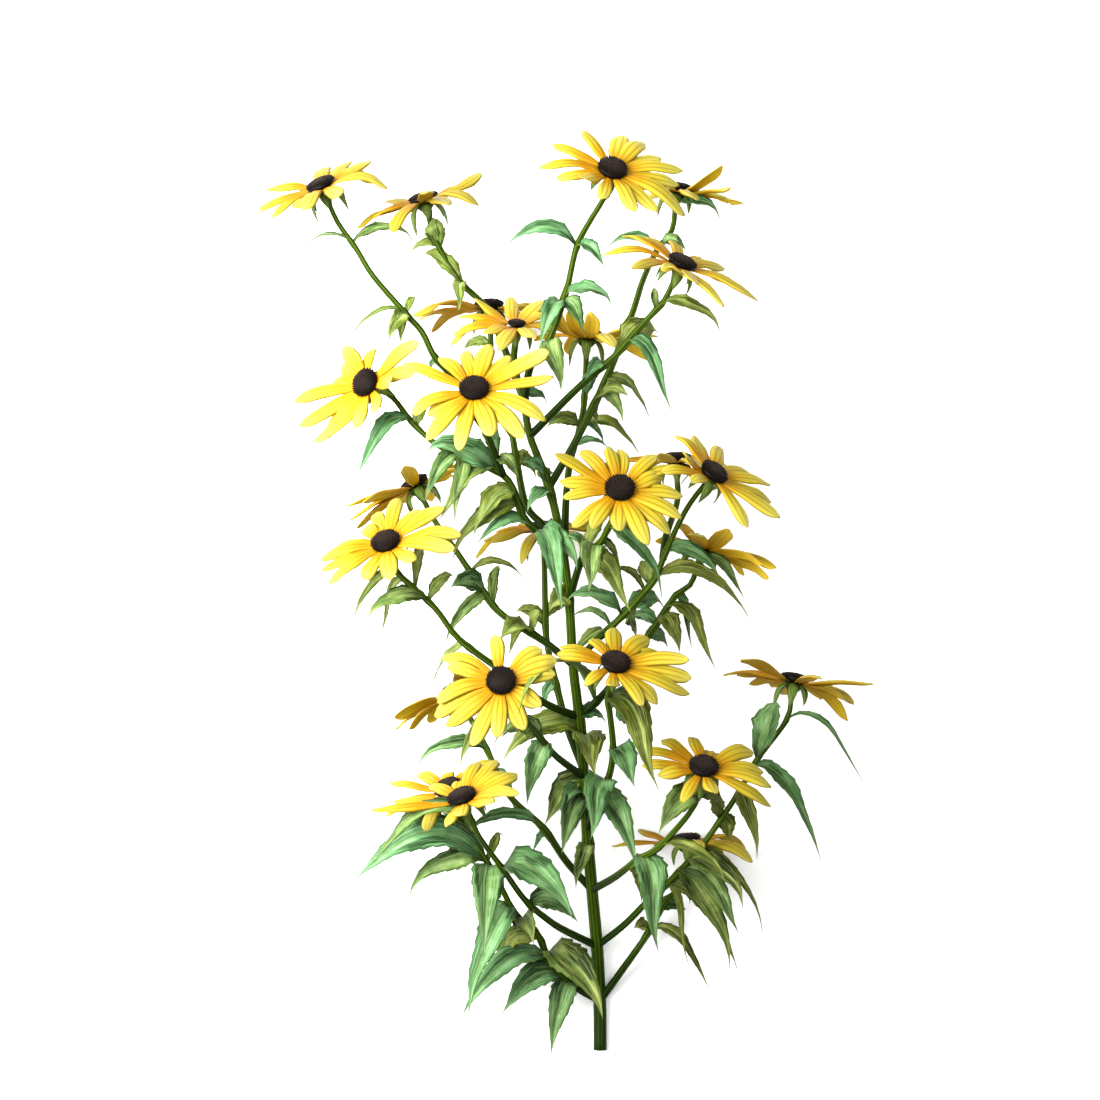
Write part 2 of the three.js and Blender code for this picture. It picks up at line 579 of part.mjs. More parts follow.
// The tips of a bloom's rays in turn, with more of them in the wide gaps of its far side.
function rayTips(number, bloom, frame) {
  const draw = drawFrom(number);
  const tips = bloom.tips.map((tip) => rayTip(bloom, frame, tip));
  const angles = tips.map((tip) => turnOf(frame, tip)).sort((a, b) => a - b);
  angles.forEach((angle, k) => {
    const gap = (angles[k + 1] ?? angles[0] + 2 * Math.PI) - angle;
    const parts = Math.round(gap / RAY_SPACING);
    for (let j = 1; j < parts; j += 1) {
      const { out } = spoke(frame, angle + (gap * j) / parts);
      const reach = bloom.reach * draw(0.8, 0.95);
      if (out.z < FAR_SIDE) {
        tips.push(moved(frame.centre, [out, Math.min(reach, (frame.centre.z - FLOOR_CLEAR) / -out.z)]));
      }
    }
  });
  return tips.sort((a, b) => turnOf(frame, a) - turnOf(frame, b));
}

// Angles in turn, pushed apart until none is nearer to the next than a fair share of the whole turn.
function pushedApart(angles) {
  const least = (ROOT_SHARE * 2 * Math.PI) / angles.length;
  const spread = [...angles];
  for (let round = 0; round < ROOT_ROUNDS; round += 1) {
    spread.forEach((_, k) => {
      const next = (k + 1) % spread.length;
      const gap = spread[next] - spread[k] + (next === 0 ? 2 * Math.PI : 0);
      const push = Math.max(0, least - gap) / 2;
      spread[k] -= push;
      spread[next] += push;
    });
  }
  return spread;
}

// The yellow rays, in two layers that pass over each other. Each leaves the disc outwards and bends to its tip,
// arched against its own weight, and is narrower where its neighbours are near.
function raysSolid(number, bloom) {
  const frame = bloomFrame(bloom);
  const tips = rayTips(number, bloom, frame);
  const angles = pushedApart(tips.map((tip) => turnOf(frame, tip)));
  const spines = tips.map((tip, k) => {
    const { out } = spoke(frame, angles[k]);
    const last = tips.length % 2 === 1 && k === tips.length - 1;
    const layer = last ? 0 : k % 2 === 0 ? RAY_LAYER : -RAY_LAYER;
    const root = moved(frame.centre, [out, RAY_HUB.radius], [frame.axis, RAY_HUB.rimTop]);
    const length = tip.distanceTo(root);
    const bulge = moved(root, [out, RAY_BULGE * length],
      [frame.axis, RAY_BULGE * length * RAY_CUP], [DOWN_STEM, -RAY_ARCH * length]);
    const curve = new THREE.QuadraticBezierCurve3(root, bulge, tip);
    return (s) => moved(curve.getPoint(s), [frame.axis, layer * Math.min(1, s * RAY_LAYER_RISE)]);
  });
  const blades = spines.map((spine, k) => {
    const { across } = spoke(frame, angles[k]);
    const neighbours = [spines.at(k - 1), spines[(k + 1) % spines.length]];
    const rows = RAY_ROWS.map(([s, width]) => {
      const gaps = neighbours.map((other) => spine(s).distanceTo(other(s)));
      const half = Math.min(width, (Math.min(...gaps) - RAY_GAP) / 2);
      return bladeRow(spine(s), across, frame.axis, half, BLADE_THICKNESS);
    });
    return { angle: angles[k], rows, tip: spine(1) };
  });
  return wheel(frame, RAY_HUB, blades);
}

// The dark disc: a low dome whose rings of florets stand out and sink in by turns.
function discSolid(bloom) {
  const frame = bloomFrame(bloom);
  const size = bloom.disc ?? 1;
  const level = (height) => moved(frame.centre, [frame.axis, DISC_FOOT + size * height]);
  const rings = DISC_RINGS.map(([radius, height], i) =>
    Array.from({ length: DISC_SIDES }, (_, j) => {
      const { out } = spoke(frame, (-(j + i / 2) * 2 * Math.PI) / DISC_SIDES);
      const relief = (i + j) % 2 === 0 ? DISC_RELIEF : -DISC_RELIEF;
      return moved(level(height), [out, size * radius * (1 + relief)]);
    }),
  );
  return spindle(level(0), rings, level(DISC_TOP));
}

// A stem and the green cup that it opens into, with a sepal over each of its sides, bent back along it.
function stalkSolid(line, radii, number) {
  const frame = bloomFrame(BLOOMS[number]);
  const draw = drawFrom(100 + number);
  const blades = Array.from({ length: STEM_SIDES }, (_, k) => {
    const angle = ((k + 0.5) * 2 * Math.PI) / STEM_SIDES;
    const length = SEPAL_LENGTH * draw(0.8, 1.15);
    const droop = draw(0.3, 0.6);
    const { out, across } = spoke(frame, angle);
    const spine = (s) => {
      const reach = CUP.radius + length * s * (SEPAL_SPREAD - SEPAL_HOOK * s);
      return moved(frame.centre, [out, reach], [frame.axis, -1 - length * s * (SEPAL_FALL + droop * s)]);
    };
    const row = bladeRow(spine(SEPAL_MIDDLE), across, frame.axis, SEPAL_HALF_WIDTH, BLADE_THICKNESS);
    return { angle, rows: [row], tip: spine(1) };
  });
  return wheel(frame, CUP, blades, stemRings(line, radii));
}

// The line of a stem, from where it leaves the stem that carries it to the foot of its bloom's cup.
function stemLine(stem, lines) {
  const points = stem.path.map((p) => spot(...p));
  if (stem.root) points.unshift(pointNear(lines[stem.parent ?? "main_stem"], ...stem.root));
  const { axis, centre } = bloomFrame(BLOOMS[stem.bloom]);
  points.push(moved(centre, [axis, -CUP_DEPTH - NECK_LENGTH]), moved(centre, [axis, -CUP_DEPTH]));
  const smooth = new THREE.CatmullRomCurve3(points, false, "catmullrom", 0.5);
  const steps = Math.max(3, Math.round(smooth.getLength() / STEM_STEP));
  const stops = stem.root ? smooth.getSpacedPoints(steps) : points;
  const line = new THREE.CurvePath();
  for (let k = 1; k < stops.length; k += 1) line.add(new THREE.LineCurve3(stops[k - 1], stops[k]));
  return line;
}

// The point of a line that shows nearest to a point of the photograph.
function pointNear(line, x, y) {
  const gap = (point) => point.distanceTo(spot(x, y, point.z));
  return line.getSpacedPoints(LINE_STEPS).reduce((best, point) => (gap(point) < gap(best) ? point : best));
}

// A leaf: a toothed blade on an arched spine that leaves the stem upwards and droops to its tip.
function leafSolid(line, [rootX, rootY, tipX, tipY, rise, width, arch = LEAF_ARCH], seed) {
  const draw = drawFrom(1000 + seed);
  const root = pointNear(line, rootX, rootY);
  const tip = spot(tipX, tipY, root.z + rise);
  const chord = tip.clone().sub(root);
  const length = chord.length();
  const rising = moved(root, [chord, 0.28], [LEAF_LIFT, arch * length]);
  const falling = moved(root, [chord, 0.72], [LEAF_LIFT, 0.85 * arch * length]);
  const spine = new THREE.CubicBezierCurve3(root, rising, falling, tip);
  const face = radians(LEAF_FACE + draw(-22, 22));
  const facing = new THREE.Vector3(draw(-0.25, 0.25), Math.cos(face), Math.sin(face));
  const across = new THREE.Vector3().crossVectors(facing, chord).normalize();
  const half = (width * LEAF_SLANT * MM_PER_PIXEL) / 2;
  const rings = OUTLINES.find((outline) => width < outline.under).rows.map(([s, share]) => {
    const middle = spine.getPoint(s);
    const forward = spine.getTangent(s);
    const side = moved(across, [forward, -across.dot(forward)]).normalize();
    const up = new THREE.Vector3().crossVectors(forward, side);
    return bladeRow(middle, side, up, half * share, LEAF_THICKNESS);
  });
  return spindle(root, rings, tip);
}

function meshOf(name, solid, material) {
  const mesh = solid.getMesh();
  const geometry = new THREE.BufferGeometry();
  geometry.setAttribute("position", new THREE.BufferAttribute(new Float32Array(mesh.vertProperties), 3));
  geometry.setIndex(new THREE.BufferAttribute(new Uint32Array(mesh.triVerts), 1));
  const made = new THREE.Mesh(geometry, material);
  made.name = name;
  return made;
}

// The stems, leaves and cups: each side branch low on the plant by itself, cut clear of the main stem, and
// those of the crown in one with it.
const lines = {};
const greens = {};
Object.entries(STEMS).forEach(([name, stem], order) => {
  const line = stemLine(stem, lines);
  lines[name] = line;
  const inCrown = name.startsWith("side_");
  let stalk = stalkSolid(line, stem.root ? BRANCH_RADII : MAIN_RADII, stem.bloom);
  if (stem.root && !inCrown) {
    const widened = MAIN_RADII.map((radius) => radius + AXIL_GAP);
    stalk = stalk.subtract(stalkSolid(lines.main_stem, widened, STEMS.main_stem.bloom));
  }
  const leaves = stem.leaves.map((leaf, k) => leafSolid(line, leaf, 20 * order + k));
  const node = inCrown ? "main_stem" : name;
  greens[node] = [...(greens[node] ?? []), stalk, ...leaves];
});

const plant = new THREE.Group();
plant.name = "orange_coneflower_cut_stem";
for (const [name, solids] of Object.entries(greens)) {
  plant.add(meshOf(name, wasm.Manifold.union(solids), MATERIALS.green));
}
for (const [number, bloom] of Object.entries(BLOOMS)) {
  plant.add(meshOf("rays_" + number, raysSolid(Number(number), bloom), MATERIALS.yellow));
  plant.add(meshOf("disc_" + number, discSolid(bloom), MATERIALS.brown));
}
export default plant;
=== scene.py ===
"""Orange coneflower: a cut stem with side branches, toothed leaves and 25 open blooms, on a pale floor.

The stem lies on its back and the camera looks straight down on it. The blooms and stems repeat the places
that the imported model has, and every solid of it is replaced by a finer piece of the same form.
"""

import json
import math
from collections import defaultdict
from dataclasses import dataclass

import bmesh
import bpy
from bpy.props import FloatProperty, FloatVectorProperty, IntProperty, PointerProperty
from mathutils import Matrix, Vector

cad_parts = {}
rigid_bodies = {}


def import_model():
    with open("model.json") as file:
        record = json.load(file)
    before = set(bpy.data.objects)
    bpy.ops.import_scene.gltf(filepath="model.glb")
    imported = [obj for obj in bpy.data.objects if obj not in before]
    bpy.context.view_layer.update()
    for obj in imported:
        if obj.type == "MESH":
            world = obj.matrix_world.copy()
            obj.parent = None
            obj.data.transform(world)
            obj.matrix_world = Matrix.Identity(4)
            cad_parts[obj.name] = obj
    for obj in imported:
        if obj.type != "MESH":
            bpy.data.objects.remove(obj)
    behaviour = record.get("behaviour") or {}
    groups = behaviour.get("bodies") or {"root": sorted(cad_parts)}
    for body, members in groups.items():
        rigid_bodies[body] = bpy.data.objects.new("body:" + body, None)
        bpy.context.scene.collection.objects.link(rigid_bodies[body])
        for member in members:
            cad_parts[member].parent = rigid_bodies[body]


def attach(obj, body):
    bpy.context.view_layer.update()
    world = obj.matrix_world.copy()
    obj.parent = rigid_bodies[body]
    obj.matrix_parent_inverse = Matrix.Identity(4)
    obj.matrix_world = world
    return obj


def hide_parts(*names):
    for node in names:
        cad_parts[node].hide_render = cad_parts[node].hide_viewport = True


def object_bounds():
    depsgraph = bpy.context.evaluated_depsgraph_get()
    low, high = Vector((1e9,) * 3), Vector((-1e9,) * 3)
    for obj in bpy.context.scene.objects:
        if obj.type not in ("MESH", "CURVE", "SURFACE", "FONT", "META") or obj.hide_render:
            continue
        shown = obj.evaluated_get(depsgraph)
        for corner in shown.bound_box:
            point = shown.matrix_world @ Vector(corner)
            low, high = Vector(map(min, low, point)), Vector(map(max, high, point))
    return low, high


bl_info = {
    "name": "Orange coneflower cut stem",
    "version": (1, 0, 0),
    "blender": (4, 5, 0),
    "location": "3D View > Sidebar > Coneflower",
    "description": "Grows a branched coneflower stem with leaves and open blooms on a pale floor",
    "category": "Object",
}

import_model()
CAD_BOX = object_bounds()
BODY = "root"

# The photograph's scale, middle and origin. The plant is measured from its cut end to its top petal.
MM = 0.001
PLANT_LENGTH = 0.572
PLANT_PIXELS = 922
PIXEL = PLANT_LENGTH / PLANT_PIXELS
PHOTO_SIDE = 1100
PHOTO_CENTRE = (550, 550)
ORIGIN_PIXEL = (600, 1030)
EYE_HEIGHT = 2.842
SENSOR_WIDTH = 36

# The directions down and to the right in the photograph, and the place of its camera.
DOWN_STEM = Vector((0, -1, 0))
PICTURE_RIGHT = Vector((1, 0, 0))
EYE = Vector((
    (PHOTO_CENTRE[0] - ORIGIN_PIXEL[0]) * PIXEL,
    (ORIGIN_PIXEL[1] - PHOTO_CENTRE[1]) * PIXEL,
    EYE_HEIGHT,
))

# The seeded draws: from a seed to its first state, from each state to the next, and how many are left out.
SEED_FACTOR = 7919
SEED_OFFSET = 17
STATE_FACTOR = 1664525
STATE_OFFSET = 1013904223
STATES = 2**32
FIRST_DRAWS = 3

# The first seed for the form or the looks of each kind of piece, and the seeds kept for a stem's leaves.
SEPAL_SEED = 100
LEAF_SEED = 1000
FLORET_SEED = 4242
RAY_LOOK_SEED = 5000
LEAF_LOOK_SEED = 7000
SEPAL_LOOK_SEED = 8000
SEEDS_PER_STEM = 20

# The stems: radii at the foot and at the neck, how they swell where they bear a leaf, and over what length
# the painted shade, in dark green, of an axil passes, in metres.
LINE_STEP = 0.005
CURVE_TENSION = 0.5
FOOT_APOTHEM = 0.0034
MAIN_RADII = (FOOT_APOTHEM / math.cos(math.pi / 6), 0.0019)
BRANCH_RADII = (0.0023, 0.0016)
NECK_LENGTH = 0.016
NODE_SWELLING = 0.22
NODE_REACH = 0.0035
AXIL_SHADE_REACH = 0.075

# The green cup under a bloom: places along the bloom's axis and radii, in metres.
CUP_DEPTH = 0.0065
CUP_RADIUS = 0.0056
CUP_PROFILE = (
    (-0.0052, 0.0024), (-0.0040, 0.0036), (-0.0028, 0.0048), (-0.0016, 0.0056), (-0.0002, 0.0056),
    (0.0001, 0.0045), (0.0001, 0.0010),
)

# The sepals: sizes in metres, the ranges in which they vary, and shares of their length and width.
SEPALS = 6
SEPAL_COLUMNS = 2
SEPAL_ROWS = 6
SEPAL_LENGTH = 0.017
SEPAL_LENGTHS = (0.8, 1.15)
SEPAL_DROOPS = (0.3, 0.6)
SEPAL_ROOT = CUP_RADIUS * 0.8
SEPAL_DROP = 0.001
SEPAL_SPREAD = 0.8
SEPAL_HOOK = 0.45
SEPAL_FALL = 0.3
SEPAL_HALF_WIDTH = 0.003
SEPAL_FOOT = 0.57
SEPAL_WIDENING = 2.95
SEPAL_NARROWING = 1.1
SEPAL_CREASE = 0.3

# The yellow rays: sizes in metres, shares of their reach and length, and the gap that takes another ray. A
# growth says how soon something is there in full: at 4, after a quarter of the length.
RAY_HUB = 0.0084
RAY_LIFT = 0.0012
RAY_INSET = 0.0022
RAY_INSET_GROWTH = 5
RAY_LAYER = 0.0011
RAY_LAYER_GROWTH = 2.5
RAY_CUP = 0.1
RAY_LEAST = 0.72
RAY_MOST = 1.1
RAY_FAR_REACHES = (0.8, 0.95)
RAY_ARCH = 0.1
RAY_BULGE = 0.5
RAY_SPACING = math.radians(27)
ROOT_SHARE = 0.75
ROOT_ROUNDS = 40
FAR_SIDE = -0.35
FLOOR_CLEAR = 0.002
RAY_STOPS = (0, 0.1, 0.21, 0.33, 0.46, 0.59, 0.71, 0.82, 0.91, 0.97, 1)
RAY_COLUMNS = 6
SPINE_STEP = 0.02

# A ray's outline, by shares of its greatest width and of its length, and the ranges in which rays vary.
RAY_ROOT_WIDTH = 0.42
RAY_WIDEST_FROM = 0.5
RAY_TIP_FROM = 0.55
RAY_TIP_LEAST = 0.02
RAY_NOTCH_FROM = 0.85
RAY_WIDTHS = (0.82, 1.12)
RAY_BLUNTNESS = (1.8, 3.6)
RAY_NOTCHES = (0.1, 1)
RAY_HOOKS = (-1, 0.35)

# A ray's relief: its turn to the level, the folds that make two grooves, and the waves of its margins.
RAY_TURN_GROWTH = 1.6
RAY_FOLDS = 3
RAY_FOLD_GROWTH = 4
RAY_FOLD_FADE = 0.6
RAY_FOLD_FADES_FROM = 0.5
RAY_WAVES = 9
RAY_WAVES_APART = 1.7
RAY_WAVE_GROWTH = 3

# The rays on the left of a bloom that is seen from its side: how far the orange of their roots reaches, as
# painted shade, and how much narrower they are if their upper sides show.
LEFT_SHADING = 0.34
LEFT_SLENDER = 0.34

# The dark disc, with radii and heights in metres, and its florets, by shares of their size.
DISC_CENTRE = 0.004
DISC_FOOT = 0.0018
DISC_SOCKET = ((0.0052, -0.0017), (0.0066, -0.0011), (0.0080, -0.0004), (0.0087, 0.0006))
DISC_DOME = (
    (0.0088, 0.0015), (0.0081, 0.0026), (0.0065, 0.0036), (0.0043, 0.0043), (0.0021, 0.0046), (0, 0.0047),
)
DISC_SEGMENTS = 36
GOLDEN_ANGLE = math.pi * (3 - math.sqrt(5))
FLORET_SIDES = 5
FLORET_MARGIN = 0.0002
FLORET_LEAN = 1.1
FLORET_INNER_SIZE = 0.62
FLORET_SIZE_GAIN = 0.5
FLORET_SIZES = (0.85, 1.15)
FLORET_FOOT = 0.62
FLORET_TIP = 0.22
FLORET_HEIGHT = 1.5

# The leaves: how many degrees their faces look up, how much that varies, and how they rise, fall and twist.
LEAF_COLUMNS = 6
LEAF_FACE = 60
LEAF_FACE_VARIES = 22
LEAF_ASIDE_VARIES = 0.25
LEAF_ARCH = 0.4
LEAF_LIFT = Vector((0, 0.92, 0.39))
LEAF_RISES_AT = 0.25
LEAF_FALLS_AT = 0.8
LEAF_FALLING_ARCH = 0.85
LEAF_SLANT = 1.25
LEAF_STRAIGHT_AT = 0.3
LEAF_SWAY_POWER = 1.4
LEAF_WAVES = 17
LEAF_WAVES_APART = 1.3

# A leaf's outline, its stalk in metres and its teeth, by shares of its width and length.
LEAF_WIDENING = 1
LEAF_NARROWING = 1.7
LEAF_WIDEST_AT = LEAF_WIDENING / (LEAF_WIDENING + LEAF_NARROWING)
LEAF_WIDEST = LEAF_WIDEST_AT**LEAF_WIDENING * (1 - LEAF_WIDEST_AT) ** LEAF_NARROWING
STALK_HALF_WIDTH = 0.0008
MARGIN = 0.99
TOOTH_RISE = 0.76
LEAST_TEETH = 7
MOST_TEETH = 12
TOOTH_GROWTH = 4
TOOTH_FADE = 0.5
TEETH_END = 0.9

# How near to the surface a blade may come, and how near to each other points are one, in metres.
BLADE_LEAST_HEIGHT = 0.0007
SAME_PLACE = 1e-6

# The plant is lit from the left, and darkens to the lower right: where that starts, over how many pixels it
# grows and how much a pixel down counts against one to the right.
SHADE_FROM = 545
SHADE_OVER = 480
SHADE_DOWN = 0.4

# The finishes: how far apart the patterns of two leaves or rays lie, how side veins curve and how strong they
# are against the midrib, how strongly veins show on each side of a leaf, and how ragged a ray's colours are.
PATTERNS_APART = 37
VEIN_CURVE = 0.8
SIDE_VEINS = 0.5
UPPER_VEINS = 0.5
UNDER_VEINS = 0.35
RAY_RAGGED = 0.22

# The stage: places from the plant's middle, sizes and the floor's gap, in metres.
KEY_PLACE = (-1.05, 0.42, 1)
KEY_SIZE = 1.4
FILL_PLACE = (0.1, 0.1, 1.8)
FILL_SIZE = 1.4
FLOOR_GAP = 0.0003


@dataclass(frozen=True)
class Bloom:
    """A bloom: its disc's centre in the photograph and its height in mm, how far its axis leans from the
    line of sight and which way, anticlockwise from the photograph's right, in degrees, the reach of its
    rays in mm, where the tips of the rays show, the size of its disc, which is less in a young bloom, and
    how much more painted shade its rays have than their place gives them, or less. A tip that ends in 1
    is on the side towards the camera, and one that ends in -1 on the far side."""

    at: tuple
    height: float
    lean: float
    toward: float
    reach: float
    tips: list
    disc: float = 1
    shade: float = 0


@dataclass(frozen=True)
class Leaf:
    """A leaf: where it leaves its stem and where its tip is, how many mm the tip rises above that, the
    width that shows and its arch. The rest is in pixels of the photograph."""

    root_x: float
    root_y: float
    tip_x: float
    tip_y: float
    rise: float
    width: float
    arch: float = LEAF_ARCH


@dataclass(frozen=True)
class Stem:
    """A stem: where it grows from which other, its bloom, the points that it passes, with heights in mm,
    its leaves, each as a Leaf's values, and how much yellower than others they are by tone, or bluer.
    Places are in pixels of the photograph."""

    root: tuple
    bloom: int
    path: list
    leaves: list = ()
    parent: str = "main_stem"
    yellowing: float = 0


# The blooms, numbered roughly from the top of the photograph down.
BLOOMS = {
    1: Bloom((320, 183), 84, 74, 114, 42, [
        (255, 215), (258, 207), (267, 192), (271, 219), (292, 203), (306, 210), (340, 194),
        (390, 186), (374, 182, -1), (369, 160), (351, 161), (324, 167)], shade=0.65),
    2: Bloom((423, 197), 82, 84, 106, 40, [
        (355, 223), (371, 219), (392, 230), (385, 197), (428, 190, 1), (448, 204), (480, 203),
        (475, 187), (480, 172), (459, 190, -1)], shade=1),
    3: Bloom((613, 167), 141, 47, 72, 44, [
        (538, 168), (553, 144), (583, 132), (622, 132), (661, 158), (683, 172), (681, 182), (686, 216),
        (657, 211), (634, 214), (601, 198), (580, 179), (557, 175)]),
    4: Bloom((678, 187), 36.6, 88, 82, 40, [
        (722, 168), (731, 187), (743, 203), (725, 200), (697, 199, 1), (650, 200, 1), (628, 185),
        (637, 175), (668, 178, -1)]),
    5: Bloom((683, 261), 128, 70, 65, 46, [
        (600, 254), (640, 232), (633, 267), (663, 269), (673, 266), (695, 286), (724, 306),
        (758, 301), (744, 287), (723, 271), (708, 258)], shade=-0.1),
    6: Bloom((517, 321), 106, 74, 86, 36, [
        (476, 296), (511, 298), (542, 297), (458, 316), (452, 330), (449, 345),
        (484, 336), (500, 349), (533, 340), (552, 326), (549, 312)], disc=0.6, shade=0.1),
    7: Bloom((489, 304), 38.2, 96, 92, 43, [
        (411, 315), (419, 319), (431, 333), (462, 301, -1), (541, 309), (548, 320), (530, 330)], shade=0.75),
    8: Bloom((587, 333), 46, 88, 88, 40, [
        (546, 322), (553, 306), (572, 306, 1), (592, 307), (628, 319), (658, 334), (651, 359),
        (615, 349, 1), (566, 353), (554, 296, -1)]),
    9: Bloom((364, 382), 118, 45, 152, 40, [
        (297, 401), (299, 424), (309, 438), (325, 439), (356, 429), (371, 407), (392, 380),
        (412, 371), (420, 343), (368, 347), (345, 349), (338, 364)], shade=0.1),
    10: Bloom((474, 387), 158, 41, 92, 43, [
        (403, 360), (466, 349), (510, 355), (548, 352), (553, 377), (547, 420), (523, 435),
        (491, 437), (457, 447), (427, 442), (428, 414), (412, 413)], shade=0.05),
    11: Bloom((620, 487), 156, 34, 82, 38, [
        (556, 452), (559, 480), (563, 500), (573, 527), (592, 529), (620, 528), (648, 546),
        (672, 531), (681, 520), (683, 495), (664, 477), (680, 465), (656, 455), (620, 450),
        (609, 446), (603, 460)], shade=0.25),
    12: Bloom((715, 471), 127, 62, 53, 40, [
        (750, 524), (779, 519), (775, 499), (771, 484), (757, 474), (720, 450), (696, 436),
        (664, 468), (684, 456), (692, 480)], shade=-0.2),
    13: Bloom((676, 457), 60, 86, 92, 38, [
        (622, 456), (614, 462), (660, 451, 1), (640, 470), (700, 470), (722, 462), (735, 470)], shade=-0.1),
    14: Bloom((414, 482), 39.2, 96, 118, 40, [
        (404, 467, 1), (346, 508), (349, 521), (356, 527), (360, 497), (431, 499), (450, 471),
        (462, 465), (473, 471)], shade=0.1),
    15: Bloom((385, 540), 130, 52, 110, 41, [
        (335, 547), (362, 533), (321, 562), (320, 568), (328, 583), (363, 576), (390, 581),
        (412, 556), (454, 549), (461, 533), (445, 509), (400, 499)], shade=0.25),
    16: Bloom((543, 526), 42, 82, 92, 41, [
        (484, 540), (475, 559), (490, 546), (521, 527), (544, 519, -1), (588, 539),
        (600, 530), (552, 560, 1), (520, 560, 1)], shade=0.55),
    17: Bloom((706, 545), 58, 98, 68, 43, [
        (681, 524), (694, 529), (727, 530, 1), (776, 568), (772, 575), (765, 560), (722, 563)], shade=-0.2),
    18: Bloom((501, 680), 146, 23, 100, 38, [
        (494, 637), (440, 655), (446, 667), (437, 703), (434, 716), (446, 728), (470, 745),
        (497, 738), (524, 729), (541, 707), (556, 673), (558, 660), (543, 649)], shade=0.15),
    19: Bloom((616, 661), 134, 50, 78, 39, [
        (560, 644), (556, 653), (591, 640), (615, 627), (649, 640), (688, 660), (692, 676),
        (690, 695), (659, 701), (643, 705), (613, 685), (584, 686)], shade=0.25),
    20: Bloom((795, 678), 46.9, 97, 78, 45, [
        (740, 659), (724, 673), (737, 676), (772, 687), (822, 674), (873, 686), (849, 697), (854, 704),
        (820, 701), (849, 717), (783, 692)]),
    21: Bloom((704, 765), 118, 52, 80, 40, [
        (640, 752), (642, 763), (658, 776), (682, 801), (716, 793), (773, 804), (772, 787),
        (765, 770), (754, 752), (713, 751), (693, 735)], shade=0.05),
    22: Bloom((450, 690), 31.7, 100, 125, 38, [
        (394, 717), (394, 728), (405, 726), (438, 692, 1), (470, 660), (480, 668), (465, 700)]),
    23: Bloom((461, 795), 118, 68, 112, 44, [
        (372, 809), (392, 800), (445, 823), (461, 818), (490, 799), (519, 793), (517, 770),
        (507, 772), (495, 758), (478, 762), (462, 776)], shade=0.15),
    24: Bloom((447, 786), 70, 66, 112, 39, [
        (390, 779), (415, 771), (384, 815), (401, 826), (426, 832), (449, 773), (470, 768),
        (482, 780)], shade=0.15),
    25: Bloom((686, 838), 37.2, 88, 95, 43, [
        (611, 840), (640, 830), (655, 841), (753, 858), (745, 851, -1), (720, 858, -1), (700, 850)]),
}

